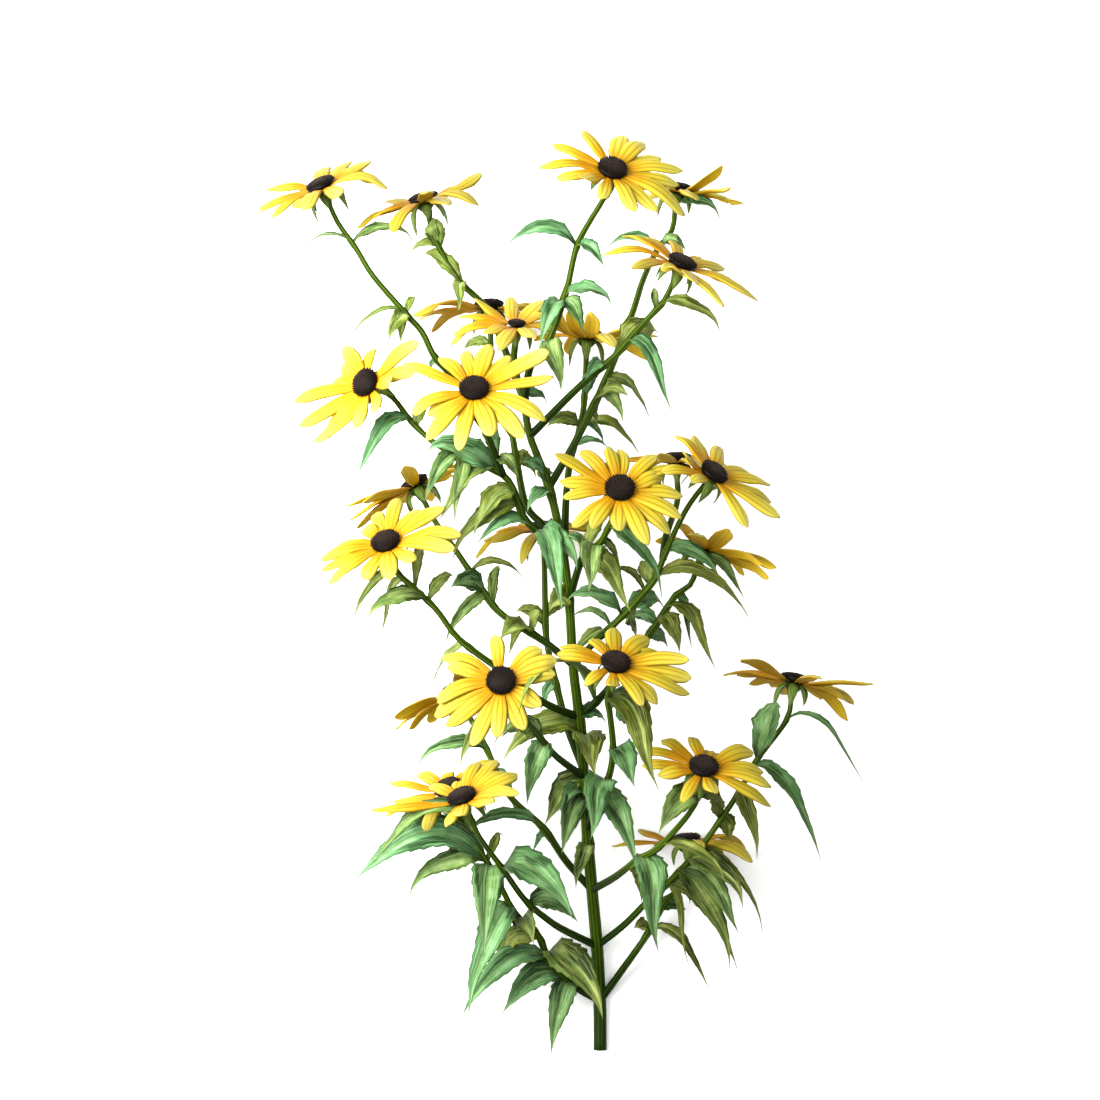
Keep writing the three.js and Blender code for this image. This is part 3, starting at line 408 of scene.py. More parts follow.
# The stems, each after the one that it grows from.
STEMS = {
    "main_stem": Stem(
        root=None, bloom=6,
        path=[
            (600, 1050, 3.4), (600, 1010, 3.4), (599, 985, 5), (597, 946, 10), (592, 890, 20),
            (587, 830, 32), (584, 777, 43), (579, 717, 55), (573, 665, 65), (569, 600, 76), (562, 545, 84),
            (549, 487, 91), (530, 436, 96), (523, 398, 98)
        ],
        leaves=[
            (581, 735, 502, 762, 12, 20), (578, 737, 596, 777, 30, 25), (577, 722, 553, 722, 4, 8),
            (579, 716, 606, 722, -6, 14), (586, 790, 557, 812, 14, 12), (587, 798, 561, 856, 22, 20),
            (589, 846, 576, 890, 8, 13), (586, 786, 544, 826, -14, 20), (571, 596, 549, 612, 14, 18),
            (560, 470, 541, 472, -4, 12), (549, 487, 523, 463, 10, 13), (548, 492, 527, 512, 16, 14),
            (522, 395, 548, 405, -16, 9)
        ],
    ),
    "branch_1": Stem(
        root=(601, 1001), bloom=24,
        path=[
            (569, 983, 14), (549, 961, 22), (538, 935, 32), (516, 915, 42), (501, 887, 52), (487, 862, 60),
            (474, 842, 62)
        ],
        leaves=[
            (484, 861, 353, 882, 14, 27), (491, 868, 484, 957, 34, 25), (484, 866, 408, 900, -8, 17),
            (524, 920, 533, 945, 26, 19), (516, 913, 493, 940, -8, 16), (534, 946, 486, 975, -12, 20),
            (548, 962, 460, 1020, 16, 20), (512, 908, 469, 1020, 14, 24), (560, 984, 501, 1015, 8, 22),
            (568, 985, 551, 1058, 4, 19), (549, 963, 567, 972, -8, 15), (551, 950, 603, 1020, 30, 28),
            (474, 840, 438, 815, -16, 18), (491, 862, 503, 835, -14, 7)
        ],
    ),
    "branch_2": Stem(
        root=(601, 1000), bloom=25,
        path=[(643, 941, 14), (652, 925, 18), (668, 898, 26), (681, 890, 32)],
        leaves=[
            (650, 938, 710, 990, -4, 10), (648, 934, 634, 928, 6, 12), (676, 875, 690, 905, -14, 9),
            (660, 912, 686, 910, -6, 12)
        ],
    ),
    "branch_3": Stem(
        root=(597, 946), bloom=23, yellowing=0.1,
        path=[(564, 930, 26), (547, 919, 38), (525, 900, 54), (502, 868, 80), (487, 848, 92)],
        leaves=[(502, 865, 573, 920, 22, 26), (530, 902, 578, 922, -10, 18), (474, 818, 372, 864, -6, 14)],
    ),
    "branch_4": Stem(
        root=(598, 944), bloom=20,
        path=[
            (624, 925, 21), (647, 902, 33), (670, 881, 46), (698, 851, 58), (721, 819, 61), (739, 792, 60),
            (757, 760, 57)
        ],
        leaves=[
            (691, 860, 743, 908, 26, 20), (722, 818, 709, 803, 10, 12), (722, 815, 732, 843, -8, 14),
            (741, 790, 757, 860, 4, 13), (752, 768, 821, 860, 6, 14), (784, 716, 864, 783, 0, 5),
            (758, 758, 781, 708, 12, 22), (681, 872, 739, 934, 18, 21), (679, 875, 730, 973, 6, 19),
            (665, 886, 739, 975, -8, 13), (664, 888, 690, 970, -12, 6), (698, 851, 763, 934, -12, 7)
        ],
    ),
    "branch_5": Stem(
        root=(592, 888), bloom=22,
        path=[(566, 861, 24), (543, 828, 32), (508, 794, 37), (487, 750, 37)],
        leaves=[
            (541, 830, 463, 840, 10, 12), (545, 834, 532, 852, -6, 6), (497, 775, 516, 816, -6, 8),
            (487, 748, 416, 770, 4, 11)
        ],
    ),
    "branch_6": Stem(
        root=(593, 890), bloom=21,
        path=[(615, 877, 46), (636, 861, 70), (659, 847, 86), (688, 815, 102)],
        leaves=[
            (699, 800, 658, 835, 12, 20), (700, 798, 726, 808, -14, 12), (657, 848, 725, 883, 8, 10),
            (635, 862, 642, 902, -12, 17), (640, 860, 659, 953, 10, 23)
        ],
    ),
    "branch_7": Stem(
        root=(588, 832), bloom=19, yellowing=-0.1,
        path=[(596, 803, 52), (609, 776, 70), (613, 750, 86), (611, 723, 100), (608, 700, 112)],
        leaves=[
            (610, 702, 659, 790, 16, 24), (611, 706, 654, 756, -24, 26), (613, 748, 635, 788, 12, 21),
            (607, 783, 590, 841, 20, 23), (602, 796, 637, 870, 23, 20)
        ],
    ),
    "branch_8": Stem(
        root=(584, 779), bloom=18,
        path=[(557, 757, 66), (543, 741, 84), (522, 716, 110)],
        leaves=[
            (545, 745, 527, 806, 4, 19), (541, 737, 502, 737, -10, 18), (534, 730, 493, 745, -18, 8),
            (512, 706, 459, 772, -2, 14)
        ],
    ),
    "branch_9": Stem(
        root=(582, 768), bloom=16,
        path=[(568, 730, 42), (560, 700, 38), (547, 643, 36), (545, 598, 36)],
        leaves=[(547, 630, 515, 612, -6, 10), (546, 620, 572, 606, -10, 10), (556, 684, 540, 710, -6, 10)],
    ),
    "side_15": Stem(
        root=(577, 718), bloom=15, yellowing=0.35,
        path=[(543, 702, 72), (500, 670, 88), (459, 639, 100), (434, 607, 108)],
        leaves=[
            (430, 602, 367, 622, 6, 15), (432, 600, 455, 577, -10, 10), (400, 572, 352, 629, -26, 7),
            (412, 580, 377, 643, -30, 6), (418, 584, 424, 546, -34, 8), (470, 646, 430, 692, -24, 9)
        ],
    ),
    "side_17": Stem(
        root=(580, 716), bloom=17,
        path=[(602, 696, 57), (630, 660, 56), (656, 625, 56), (676, 595, 57)],
        leaves=[
            (596, 698, 518, 714, 100, 17), (670, 606, 716, 669, 10, 13), (664, 614, 680, 653, 8, 16),
            (676, 598, 692, 648, -10, 7), (658, 622, 627, 621, -10, 11), (646, 640, 668, 647, -14, 12),
            (692, 562, 745, 599, 8, 9)
        ],
    ),
    "side_14": Stem(
        root=(573, 662), bloom=14, yellowing=0.25,
        path=[(549, 645, 68), (525, 629, 70), (498, 611, 68), (475, 579, 64), (452, 545, 56)],
        leaves=[
            (486, 592, 450, 588, 8, 17), (484, 598, 444, 648, -8, 10), (492, 602, 497, 566, 6, 8),
            (530, 632, 500, 640, 16, 20), (532, 634, 540, 612, 8, 11), (525, 634, 508, 656, -14, 9),
            (472, 574, 523, 578, -12, 6)
        ],
    ),
    "side_12": Stem(
        root=(572, 668), bloom=12, yellowing=0.1,
        path=[
            (594, 643, 78), (611, 627, 86), (629, 609, 92), (654, 580, 97), (663, 559, 99), (677, 527, 103)
        ],
        leaves=[
            (650, 585, 642, 562, -10, 12), (643, 592, 613, 570, 4, 6), (654, 582, 749, 617, -8, 11),
            (632, 608, 664, 607, -12, 16), (667, 552, 720, 580, -4, 12), (619, 618, 566, 602, 4, 17),
            (611, 627, 572, 617, -12, 6), (620, 618, 637, 642, -16, 16), (604, 633, 571, 670, 20, 10)
        ],
    ),
    "side_13": Stem(
        root=(661, 560), bloom=13, parent="side_12",
        path=[(666, 536, 82)],
    ),
    "side_11": Stem(
        root=(569, 600), bloom=11,
        path=[(583, 557, 100), (600, 543, 114), (612, 520, 132)],
        leaves=[
            (598, 546, 588, 593, 14, 19), (602, 542, 621, 571, -16, 6), (582, 562, 632, 614, 16, 17),
            (590, 553, 603, 522, -18, 11), (588, 552, 566, 538, 4, 9), (609, 528, 662, 597, -8, 14)
        ],
    ),
    "side_9": Stem(
        root=(561, 546), bloom=9,
        path=[
            (528, 523, 92), (517, 500, 97), (503, 475, 102), (459, 457, 105), (432, 441, 102),
            (411, 421, 96)
        ],
        leaves=[
            (412, 426, 427, 405, 4, 10), (405, 424, 355, 479, 6, 13), (408, 427, 362, 457, -10, 6),
            (500, 472, 427, 453, 20, 21, 0.3), (457, 456, 424, 502, 4, 13), (466, 460, 455, 523, 8, 12),
            (497, 472, 439, 520, 8, 17), (512, 496, 473, 536, 4, 21), (520, 511, 452, 562, -6, 16),
            (534, 527, 476, 545, 10, 11), (538, 530, 563, 615, 24, 18), (540, 531, 577, 572, 16, 18)
        ],
    ),
    "side_10": Stem(
        root=(503, 475), bloom=10, parent="side_9",
        path=[(497, 460, 112), (486, 432, 132)],
        leaves=[(497, 460, 478, 420, -10, 12), (498, 462, 518, 478, 4, 13)],
    ),
    "side_7": Stem(
        root=(563, 552), bloom=7,
        path=[(545, 527, 76), (526, 505, 68), (516, 457, 62), (509, 425, 56), (484, 371, 47)],
        leaves=[(516, 455, 536, 478, -8, 12), (482, 345, 462, 352, -8, 8)],
    ),
    "side_1": Stem(
        root=(512, 436), bloom=1, parent="side_7", yellowing=0.2,
        path=[
            (501, 420, 64), (470, 392, 72), (437, 360, 78), (422, 332, 80), (406, 314, 81), (373, 276, 82),
            (357, 250, 80)
        ],
        leaves=[
            (350, 242, 306, 248, -6, 3), (354, 244, 414, 242, 6, 9), (404, 312, 348, 342, -4, 4),
            (405, 312, 389, 344, 8, 12), (406, 314, 399, 347, -4, 8), (408, 316, 416, 298, -6, 6),
            (437, 360, 428, 384, -10, 9)
        ],
    ),
    "side_8": Stem(
        root=(567, 560), bloom=8,
        path=[(566, 500, 72), (571, 457, 64), (582, 420, 56)],
        leaves=[
            (578, 430, 546, 428, 10, 11), (580, 428, 639, 453, 8, 11), (582, 424, 604, 446, -8, 7),
            (572, 450, 608, 448, -6, 6), (583, 395, 600, 372, -6, 10)
        ],
    ),
    "side_4": Stem(
        root=(549, 487), bloom=4,
        path=[
            (573, 446, 91), (595, 403, 92), (606, 380, 92), (631, 317, 87), (643, 280, 68), (657, 250, 47)
        ],
        leaves=[
            (666, 207, 720, 218, 4, 10), (654, 248, 606, 249, -6, 8), (656, 244, 687, 251, 4, 10),
            (602, 386, 623, 423, 6, 11), (606, 378, 649, 416, -8, 10), (592, 404, 629, 396, 16, 14),
            (592, 408, 597, 426, -8, 7)
        ],
    ),
    "side_5": Stem(
        root=(530, 436), bloom=5,
        path=[(578, 388, 104), (615, 356, 111), (633, 335, 115), (656, 310, 119)],
        leaves=[
            (657, 308, 653, 289, 6, 6), (660, 307, 721, 335, 0, 10), (622, 350, 658, 333, -12, 22),
            (628, 344, 672, 412, 4, 12), (606, 364, 585, 380, 6, 10)
        ],
    ),
    "side_3": Stem(
        root=(524, 402), bloom=3, yellowing=-0.15,
        path=[
            (530, 368, 110), (544, 350, 127), (558, 318, 133), (562, 303, 133), (568, 285, 129),
            (577, 246, 124), (593, 216, 119)
        ],
        leaves=[
            (577, 246, 507, 245, 6, 11), (577, 248, 605, 268, 4, 11), (566, 292, 612, 305, 4, 14),
            (562, 303, 540, 347, 14, 15), (563, 302, 585, 333, 6, 14), (550, 344, 561, 394, 10, 17)
        ],
    ),
    "side_2": Stem(
        root=(522, 394), bloom=2, yellowing=0.2,
        path=[(505, 350, 80), (487, 309, 70), (462, 284, 72), (449, 264, 75)],
        leaves=[
            (440, 246, 430, 221, 8, 15), (438, 244, 410, 253, -4, 7), (462, 284, 422, 257, 4, 12),
            (463, 286, 458, 312, 12, 10)
        ],
    ),
}


def held(value, low=0, high=1):
    """A value held between two bounds."""
    return max(low, min(high, value))


def ease(share):
    """A smooth step from 0 to 1."""
    share = held(share)
    return share * share * (3 - 2 * share)


def ease_from(start, share):
    """A smooth step from 0, at a share of the way, to 1 at its end."""
    return ease((share - start) / (1 - start))


def drawing(seed):
    """Seeded draws between two bounds, the same on every run."""
    state = seed * SEED_FACTOR + SEED_OFFSET

    def draw(low, high):
        nonlocal state
        state = (state * STATE_FACTOR + STATE_OFFSET) % STATES
        return low + (high - low) * state / STATES

    for _ in range(FIRST_DRAWS):
        draw(0, 1)
    return draw


def spot(x, y, height):
    """The place of a point of the photograph at a height in mm above the surface."""
    nearer = 1 - height * MM / EYE_HEIGHT
    across = (x - PHOTO_CENTRE[0]) * nearer + PHOTO_CENTRE[0] - ORIGIN_PIXEL[0]
    along = (PHOTO_CENTRE[1] - y) * nearer + ORIGIN_PIXEL[1] - PHOTO_CENTRE[1]
    return Vector((across * PIXEL, along * PIXEL, height * MM))


def shade_at(x, y):
    """How far a point of the photograph lies towards the plant's darker side, from 0 to 1."""
    return held((x + SHADE_DOWN * y - SHADE_FROM) / SHADE_OVER)


def square_to(direction, line):
    """The direction nearest to another that is square to a line."""
    return (direction - line * direction.dot(line)).normalized()


class Head:
    """A bloom's own directions: its axis, and two across it, the first towards the photograph's right."""

    def __init__(self, bloom):
        lean, toward = math.radians(bloom.lean), math.radians(bloom.toward)
        level = math.sin(lean)
        self.axis = Vector((level * math.cos(toward), level * math.sin(toward), math.cos(lean)))
        self.right = square_to(PICTURE_RIGHT, self.axis)
        self.over = self.axis.cross(self.right)
        self.centre = spot(*bloom.at, bloom.height) - self.axis * DISC_CENTRE

    def turn(self, place):
        """The angle round the axis at which a place lies."""
        away = place - self.centre
        return math.atan2(away.dot(self.over), away.dot(self.right))

    def spoke(self, angle):
        """The direction at an angle round the axis, and the one across it."""
        out = self.right * math.cos(angle) + self.over * math.sin(angle)
        return out, self.axis.cross(out)

    def matrix(self, height=0, size=1):
        """The turn and move that put a shape made round Z on the bloom."""
        place = Matrix((self.right, self.over, self.axis)).transposed().to_4x4()
        place.translation = self.centre + self.axis * height
        return place @ Matrix.Scale(size, 4)


def smooth_curve(points, step):
    """Points about a step apart on the smooth curve through some others."""
    before = points[0] * 2 - points[1]
    after = points[-1] * 2 - points[-2]
    chain = [before, *points, after]
    places = []
    for p0, p1, p2, p3 in zip(chain, chain[1:], chain[2:], chain[3:]):
        leave, arrive = (p2 - p0) * CURVE_TENSION, (p3 - p1) * CURVE_TENSION
        count = max(2, round((p2 - p1).length / step))
        for k in range(count):
            t = k / count
            place = (
                p1 * (2 * t**3 - 3 * t**2 + 1)
                + leave * (t**3 - 2 * t**2 + t)
                + p2 * (3 * t**2 - 2 * t**3)
                + arrive * (t**3 - t**2)
            )
            places.append(place)
    return [*places, points[-1]]


def nearest(line, x, y):
    """The point of a line that shows nearest to a point of the photograph."""
    return min(line, key=lambda place: (place - spot(x, y, place.z / MM)).length)


def stem_line(stem, lines):
    """The line of a stem, from where it leaves the one that carries it to the foot of its bloom's cup."""
    points = [spot(*place) for place in stem.path]
    if stem.root:
        points.insert(0, nearest(lines[stem.parent], *stem.root))
    head = Head(BLOOMS[stem.bloom])
    points += [head.centre - head.axis * (CUP_DEPTH + NECK_LENGTH), head.centre - head.axis * CUP_DEPTH]
    return smooth_curve(points, LINE_STEP)


def stem_lines():
    """The line of every stem, each after the one that carries it."""
    lines = {}
    for name, stem in STEMS.items():
        lines[name] = stem_line(stem, lines)
    return lines


def node_of(name):
    """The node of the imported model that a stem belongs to."""
    return name if name.startswith("branch_") else "main_stem"


def new_shape(*kinds):
    """An empty shape, whose vertices hold a number of each of these kinds."""
    bm = bmesh.new()
    for kind in kinds:
        bm.verts.layers.float.new(kind)
    return bm


def new_sheets(*kinds):
    """An empty shape for leaves or rays, with a UV map and a tone and a shade for each vertex."""
    bm = new_shape("tone", "shade", *kinds)
    bm.loops.layers.uv.new("UVMap")
    return bm


def new_mesh(name, bm):
    """The mesh of a shape that is done."""
    mesh = bpy.data.meshes.new(name)
    bm.to_mesh(mesh)
    bm.free()
    return mesh


def new_piece(name, mesh, node, slot, *materials):
    """An object with a mesh, which rides on the plant, stands for a node and has its materials."""
    piece = bpy.data.objects.new(name, mesh)
    bpy.context.scene.collection.objects.link(piece)
    for material in materials:
        mesh.materials.append(material)
    mesh.shade_smooth()
    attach(piece, BODY)
    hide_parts(node)
    return piece


def thicken(piece, thickness):
    """Gives a sheet its thickness on its underside, which has the second material."""
    wall = piece.modifiers.new("Thickness", "SOLIDIFY")
    wall.thickness = thickness
    wall.offset = -1
    wall.material_offset = 1
    wall.material_offset_rim = 1
    wall.use_even_offset = False


def sheet_grid(bm, columns, rows):
    """A flat sheet with a UV map, as its vertices, each with its share across, from -1 to 1, and its row."""
    made = bmesh.ops.create_grid(bm, x_segments=columns, y_segments=rows, size=0.5, calc_uvs=True)
    return [(v, -2 * v.co.x, round((v.co.y + 0.5) * rows)) for v in made["verts"]]


def finish_sheet(bm, sheet, **numbers):
    """Gives a sheet's vertices the same numbers, and merges those that share a place, as at its tip."""
    vertices = [vertex for vertex, _, _ in sheet]
    for kind, number in numbers.items():
        layer = bm.verts.layers.float[kind]
        for vertex in vertices:
            vertex[layer] = number
    bmesh.ops.remove_doubles(bm, verts=vertices, dist=SAME_PLACE)


def margin_wave(u, s, start, waves, apart):
    """A wave along the margins of a sheet, out of step on its two sides, that dies away inwards."""
    return u * u * math.sin(start + waves * s + (apart if u > 0 else 0))


def leaf_share(s):
    """The share of its greatest width that a leaf has at a share of its length."""
    return s**LEAF_WIDENING * (1 - s) ** LEAF_NARROWING / LEAF_WIDEST


def leaf_stops(teeth):
    """Where the rows of a leaf lie along it: for each tooth its foot and its point, and the leaf's tip."""
    stops = [(k + rise) / teeth for k in range(teeth) for rise in (0, TOOTH_RISE)]
    return [*stops, 1]


def bezier(p0, p1, p2, p3, t):
    """The place and the direction of travel at a share of a cubic curve."""
    u = 1 - t
    place = p0 * u**3 + p1 * 3 * u * u * t + p2 * 3 * u * t * t + p3 * t**3
    travel = (p1 - p0) * u * u + (p2 - p1) * 2 * u * t + (p3 - p2) * t * t
    return place, travel.normalized()


def add_leaf(bm, line, leaf, yellowing, seed, look):
    """A toothed blade on an arched spine that leaves the stem upwards and droops to its tip."""
    draw, fine = drawing(LEAF_SEED + seed), drawing(LEAF_LOOK_SEED + seed)
    root = nearest(line, leaf.root_x, leaf.root_y)
    tip = spot(leaf.tip_x, leaf.tip_y, root.z / MM + leaf.rise)
    chord = tip - root
    length = chord.length
    rising = root + chord * LEAF_RISES_AT + LEAF_LIFT * leaf.arch * length
    falling = root + chord * LEAF_FALLS_AT + LEAF_LIFT * LEAF_FALLING_ARCH * leaf.arch * length
    face = math.radians(LEAF_FACE + draw(-LEAF_FACE_VARIES, LEAF_FACE_VARIES))
    facing = Vector((draw(-LEAF_ASIDE_VARIES, LEAF_ASIDE_VARIES), math.cos(face), math.sin(face)))
    across = facing.cross(chord).normalized()
    half = leaf.width * LEAF_SLANT * PIXEL / 2
    wave, turn, tone = fine(0, 2 * math.pi), fine(-look.leaf_twist, look.leaf_twist), fine(0, 1)
    sway = length * fine(-look.leaf_sway, look.leaf_sway)
    stops = leaf_stops(held(round(length / look.tooth_spacing), LEAST_TEETH, MOST_TEETH))
    sheet = sheet_grid(bm, LEAF_COLUMNS, len(stops) - 1)
    for vertex, u, row in sheet:
        s, edge = stops[row], abs(u)
        middle, forward = bezier(root, rising, falling, tip, s)
        side = Matrix.Rotation(turn * (s - LEAF_STRAIGHT_AT), 3, forward) @ square_to(across, forward)
        up = forward.cross(side)
        reach = max(half * leaf_share(s), STALK_HALF_WIDTH * (1 - s))
        if edge > MARGIN and row % 2 == 1 and s < TEETH_END:
            reach *= 1 + look.tooth_depth * ease(s * TOOTH_GROWTH) * (1 - TOOTH_FADE * s)
        fold = look.leaf_fold * edge - look.leaf_dome * u * u
        ripple = look.leaf_ripple * margin_wave(u, s, wave, LEAF_WAVES, LEAF_WAVES_APART)
        aside = u * reach + sway * math.sin(2 * math.pi * s**LEAF_SWAY_POWER)
        vertex.co = middle + side * aside + up * (reach * (fold + ripple))
        vertex.co.z = max(vertex.co.z, BLADE_LEAST_HEIGHT)
    finish_sheet(bm, sheet, tone=held(tone + yellowing), shade=shade_at(leaf.tip_x, leaf.tip_y))


def add_sepals(bm, number, head):
    """The sepals under a bloom, one over each side of the cup."""
    draw, fine = drawing(SEPAL_SEED + number), drawing(SEPAL_LOOK_SEED + number)
    for k in range(SEPALS):
        length, droop = SEPAL_LENGTH * draw(*SEPAL_LENGTHS), draw(*SEPAL_DROOPS)
        add_sepal(bm, head, (k + 0.5) * 2 * math.pi / SEPALS, length, droop, fine(0, 1))


def add_sepal(bm, head, angle, length, droop, tone):
    """A narrow pointed blade that leaves the cup's rim and bends back, in the shade of the bloom."""
    out, across = head.spoke(angle)
    sheet = sheet_grid(bm, SEPAL_COLUMNS, SEPAL_ROWS)
    for vertex, u, row in sheet:
        s = row / SEPAL_ROWS
        reach = SEPAL_ROOT + length * s * (SEPAL_SPREAD - SEPAL_HOOK * s)
        drop = SEPAL_DROP + length * s * (SEPAL_FALL + droop * s)
        width = SEPAL_HALF_WIDTH * (SEPAL_FOOT + SEPAL_WIDENING * s) * (1 - s) ** SEPAL_NARROWING
        crease = width * SEPAL_CREASE * abs(u)
        vertex.co = head.centre + out * reach - across * (u * width) - head.axis * (drop - crease)
    # Painted shade: the sepals get the leaves' shade tint in full.
    finish_sheet(bm, sheet, tone=tone, shade=1)


def ray_share(s, blunt):
    """The share of its greatest width that a ray has at a share of its length, by how blunt its tip is."""
    opening = math.sin(min(1, s / RAY_WIDEST_FROM) * math.pi / 2)
    closing = max(0, (s - RAY_TIP_FROM) / (1 - RAY_TIP_FROM))
    tip = math.sqrt(max(RAY_TIP_LEAST, 1 - closing**blunt))
    return (RAY_ROOT_WIDTH + (1 - RAY_ROOT_WIDTH) * opening) * tip


def add_ray(bm, head, angle, spine, dimness, fine, look):
    """A ray: a strap with two grooves and waved margins, whose tip bends and is slightly notched. On the
    left of a bloom that is seen from its side it is more orange, as painted shade, and, from above, narrower."""
    out, across = head.spoke(angle)
    leftness = max(0, -out.x) * math.acos(head.axis.z) / (math.pi / 2)
    slender = LEFT_SLENDER * leftness if head.axis.z > 0 else 0
    roll, notch, tone = fine(-look.ray_roll, look.ray_roll), fine(*RAY_NOTCHES) * look.ray_notch, fine(0, 1)
    width, blunt = look.ray_width * fine(*RAY_WIDTHS) * (1 - slender), fine(*RAY_BLUNTNESS)
    wave, hook, sway = fine(0, 2 * math.pi), fine(*RAY_HOOKS) * look.ray_hook, fine(-1, 1) * look.ray_sway
    sheet = sheet_grid(bm, RAY_COLUMNS, len(RAY_STOPS) - 1)
    for vertex, u, row in sheet:
        s = RAY_STOPS[row]
        half = width / 2 * ray_share(s, blunt)
        ahead = (spine(min(1, s + SPINE_STEP)) - spine(s - SPINE_STEP)).normalized()
        side, level = square_to(across, ahead), Vector((ahead.y, -ahead.x, 0))
        side += level * math.copysign(look.ray_turn * ease(s * RAY_TURN_GROWTH), level.dot(side))
        side = Matrix.Rotation(roll * s, 3, ahead) @ side.normalized()
        up = ahead.cross(side)
        fold_size = ease(s * RAY_FOLD_GROWTH) * (1 - RAY_FOLD_FADE * ease_from(RAY_FOLD_FADES_FROM, s))
        fold = look.ray_groove * math.cos(RAY_FOLDS * math.pi * u) * fold_size
        bow = -look.ray_bow * half * u * u
        wave_size = look.ray_ripple * ease(s * RAY_WAVE_GROWTH)
        ripple = wave_size * margin_wave(u, s, wave, RAY_WAVES, RAY_WAVES_APART)
        bent = hook * ease_from(RAY_TIP_FROM, s) ** 2
        lobes = 0.5 - abs(2 * abs(u) - 1)
        aside = u * half + sway * math.sin(math.pi * s * s)
        pull = notch * ease_from(RAY_NOTCH_FROM, s) * lobes
        vertex.co = spine(s) + side * aside + up * (fold + bow + ripple + bent) + ahead * pull
        vertex.co.z = max(vertex.co.z, BLADE_LEAST_HEIGHT)
    finish_sheet(bm, sheet, tone=tone, shade=dimness, flush=LEFT_SHADING * leftness)


def ray_tip(bloom, head, x, y, side=0):
    """A ray's tip: on the line of sight through its point of the photograph, where that is nearest to the
    bloom's plane at a reach that a ray can have, or on the side of the bloom that is asked for."""
    sight = (EYE - spot(x, y, 0)).normalized()
    aside = spot(x, y, 0) - head.centre
    aside -= sight * aside.dot(sight)
    slide = -aside.dot(head.axis) / sight.dot(head.axis)
    usual = bloom.reach * MM
    reach = held(math.hypot(aside.length, slide), RAY_LEAST * usual, RAY_MOST * usual)
    slide = math.copysign(math.sqrt(max(0, reach**2 - aside.length_squared)), side or slide)
    slide = max(slide, FLOOR_CLEAR - head.centre.z)
    return head.centre + aside + sight * slide


def ray_tips(number, bloom, head):
    """The tips of a bloom's rays in turn, with more of them in the wide gaps of its far side."""
    draw = drawing(number)
    tips = [ray_tip(bloom, head, *tip) for tip in bloom.tips]
    angles = sorted(head.turn(tip) for tip in tips)
    for angle, after in zip(angles, [*angles[1:], angles[0] + 2 * math.pi]):
        parts = round((after - angle) / RAY_SPACING)
        for k in range(1, parts):
            out, _ = head.spoke(angle + (after - angle) * k / parts)
            reach = bloom.reach * MM * draw(*RAY_FAR_REACHES)
            if out.z < FAR_SIDE:
                reach = min(reach, (head.centre.z - FLOOR_CLEAR) / -out.z)
                tips.append(head.centre + out * reach)
    return sorted(tips, key=head.turn)


def pushed_apart(angles):
    """Angles in turn, pushed apart until none is nearer to the next than a fair share of the whole turn."""
    least = ROOT_SHARE * 2 * math.pi / len(angles)
    spread = list(angles)
    for _ in range(ROOT_ROUNDS):
        for k in range(len(spread)):
            after = (k + 1) % len(spread)
            gap = spread[after] - spread[k] + (2 * math.pi if after == 0 else 0)
            push = max(0, least - gap) / 2
            spread[k] -= push
            spread[after] += push
    return spread


def ray_spines(number, bloom, head):
    """The rays of a bloom, as the solids have them, in two layers by turns: each one's angle at the disc
    and its spine. The last of an odd number lies between the layers."""
    tips = ray_tips(number, bloom, head)
    for k, (tip, angle) in enumerate(zip(tips, pushed_apart([head.turn(tip) for tip in tips]))):
        last = len(tips) % 2 == 1 and k == len(tips) - 1
        layer = 0 if last else RAY_LAYER * (1 if k % 2 == 0 else -1)
        yield angle, ray_spine(head, angle, tip, layer)


def ray_spine(head, angle, tip, layer):
    """The line along the middle of a ray, by its share of length: it leaves the disc outwards and bends to
    its tip, arched against its own weight."""
    out, _ = head.spoke(angle)
    root = head.centre + out * RAY_HUB + head.axis * RAY_LIFT
    length = (tip - root).length
    bulge = root + (out + head.axis * RAY_CUP) * (RAY_BULGE * length) - DOWN_STEM * (RAY_ARCH * length)

    def spine(s):
        past = max(0, s)
        place = root * (1 - past) ** 2 + bulge * 2 * past * (1 - past) + tip * past**2
        lift = layer * min(1, past * RAY_LAYER_GROWTH)
        return place - out * (RAY_INSET * (1 - ease(s * RAY_INSET_GROWTH))) + head.axis * lift

    return spine


def disc_height(radius):
    """The height of the disc's dome at a distance from its axis."""
    for (r1, h1), (r0, h0) in zip(DISC_DOME, DISC_DOME[1:]):
        if r0 <= radius <= r1:
            return h0 + (h1 - h0) * (radius - r0) / (r1 - r0)
    return DISC_DOME[0][1]


def add_dome(bm):
    """The spun dome of the disc and the socket under it."""
    profile = [bm.verts.new((radius, 0, height)) for radius, height in DISC_SOCKET + DISC_DOME]
    chain = [bm.edges.new(pair) for pair in zip(profile, profile[1:])]
    bmesh.ops.spin(
        bm, geom=profile + chain, cent=(0, 0, 0), axis=(0, 0, 1), angle=2 * math.pi,
        steps=DISC_SEGMENTS, use_merge=True,
    )
    bmesh.ops.remove_doubles(bm, verts=bm.verts[:], dist=SAME_PLACE)
    bmesh.ops.holes_fill(bm, edges=bm.edges[:], sides=0)
    bmesh.ops.recalc_face_normals(bm, faces=bm.faces[:])


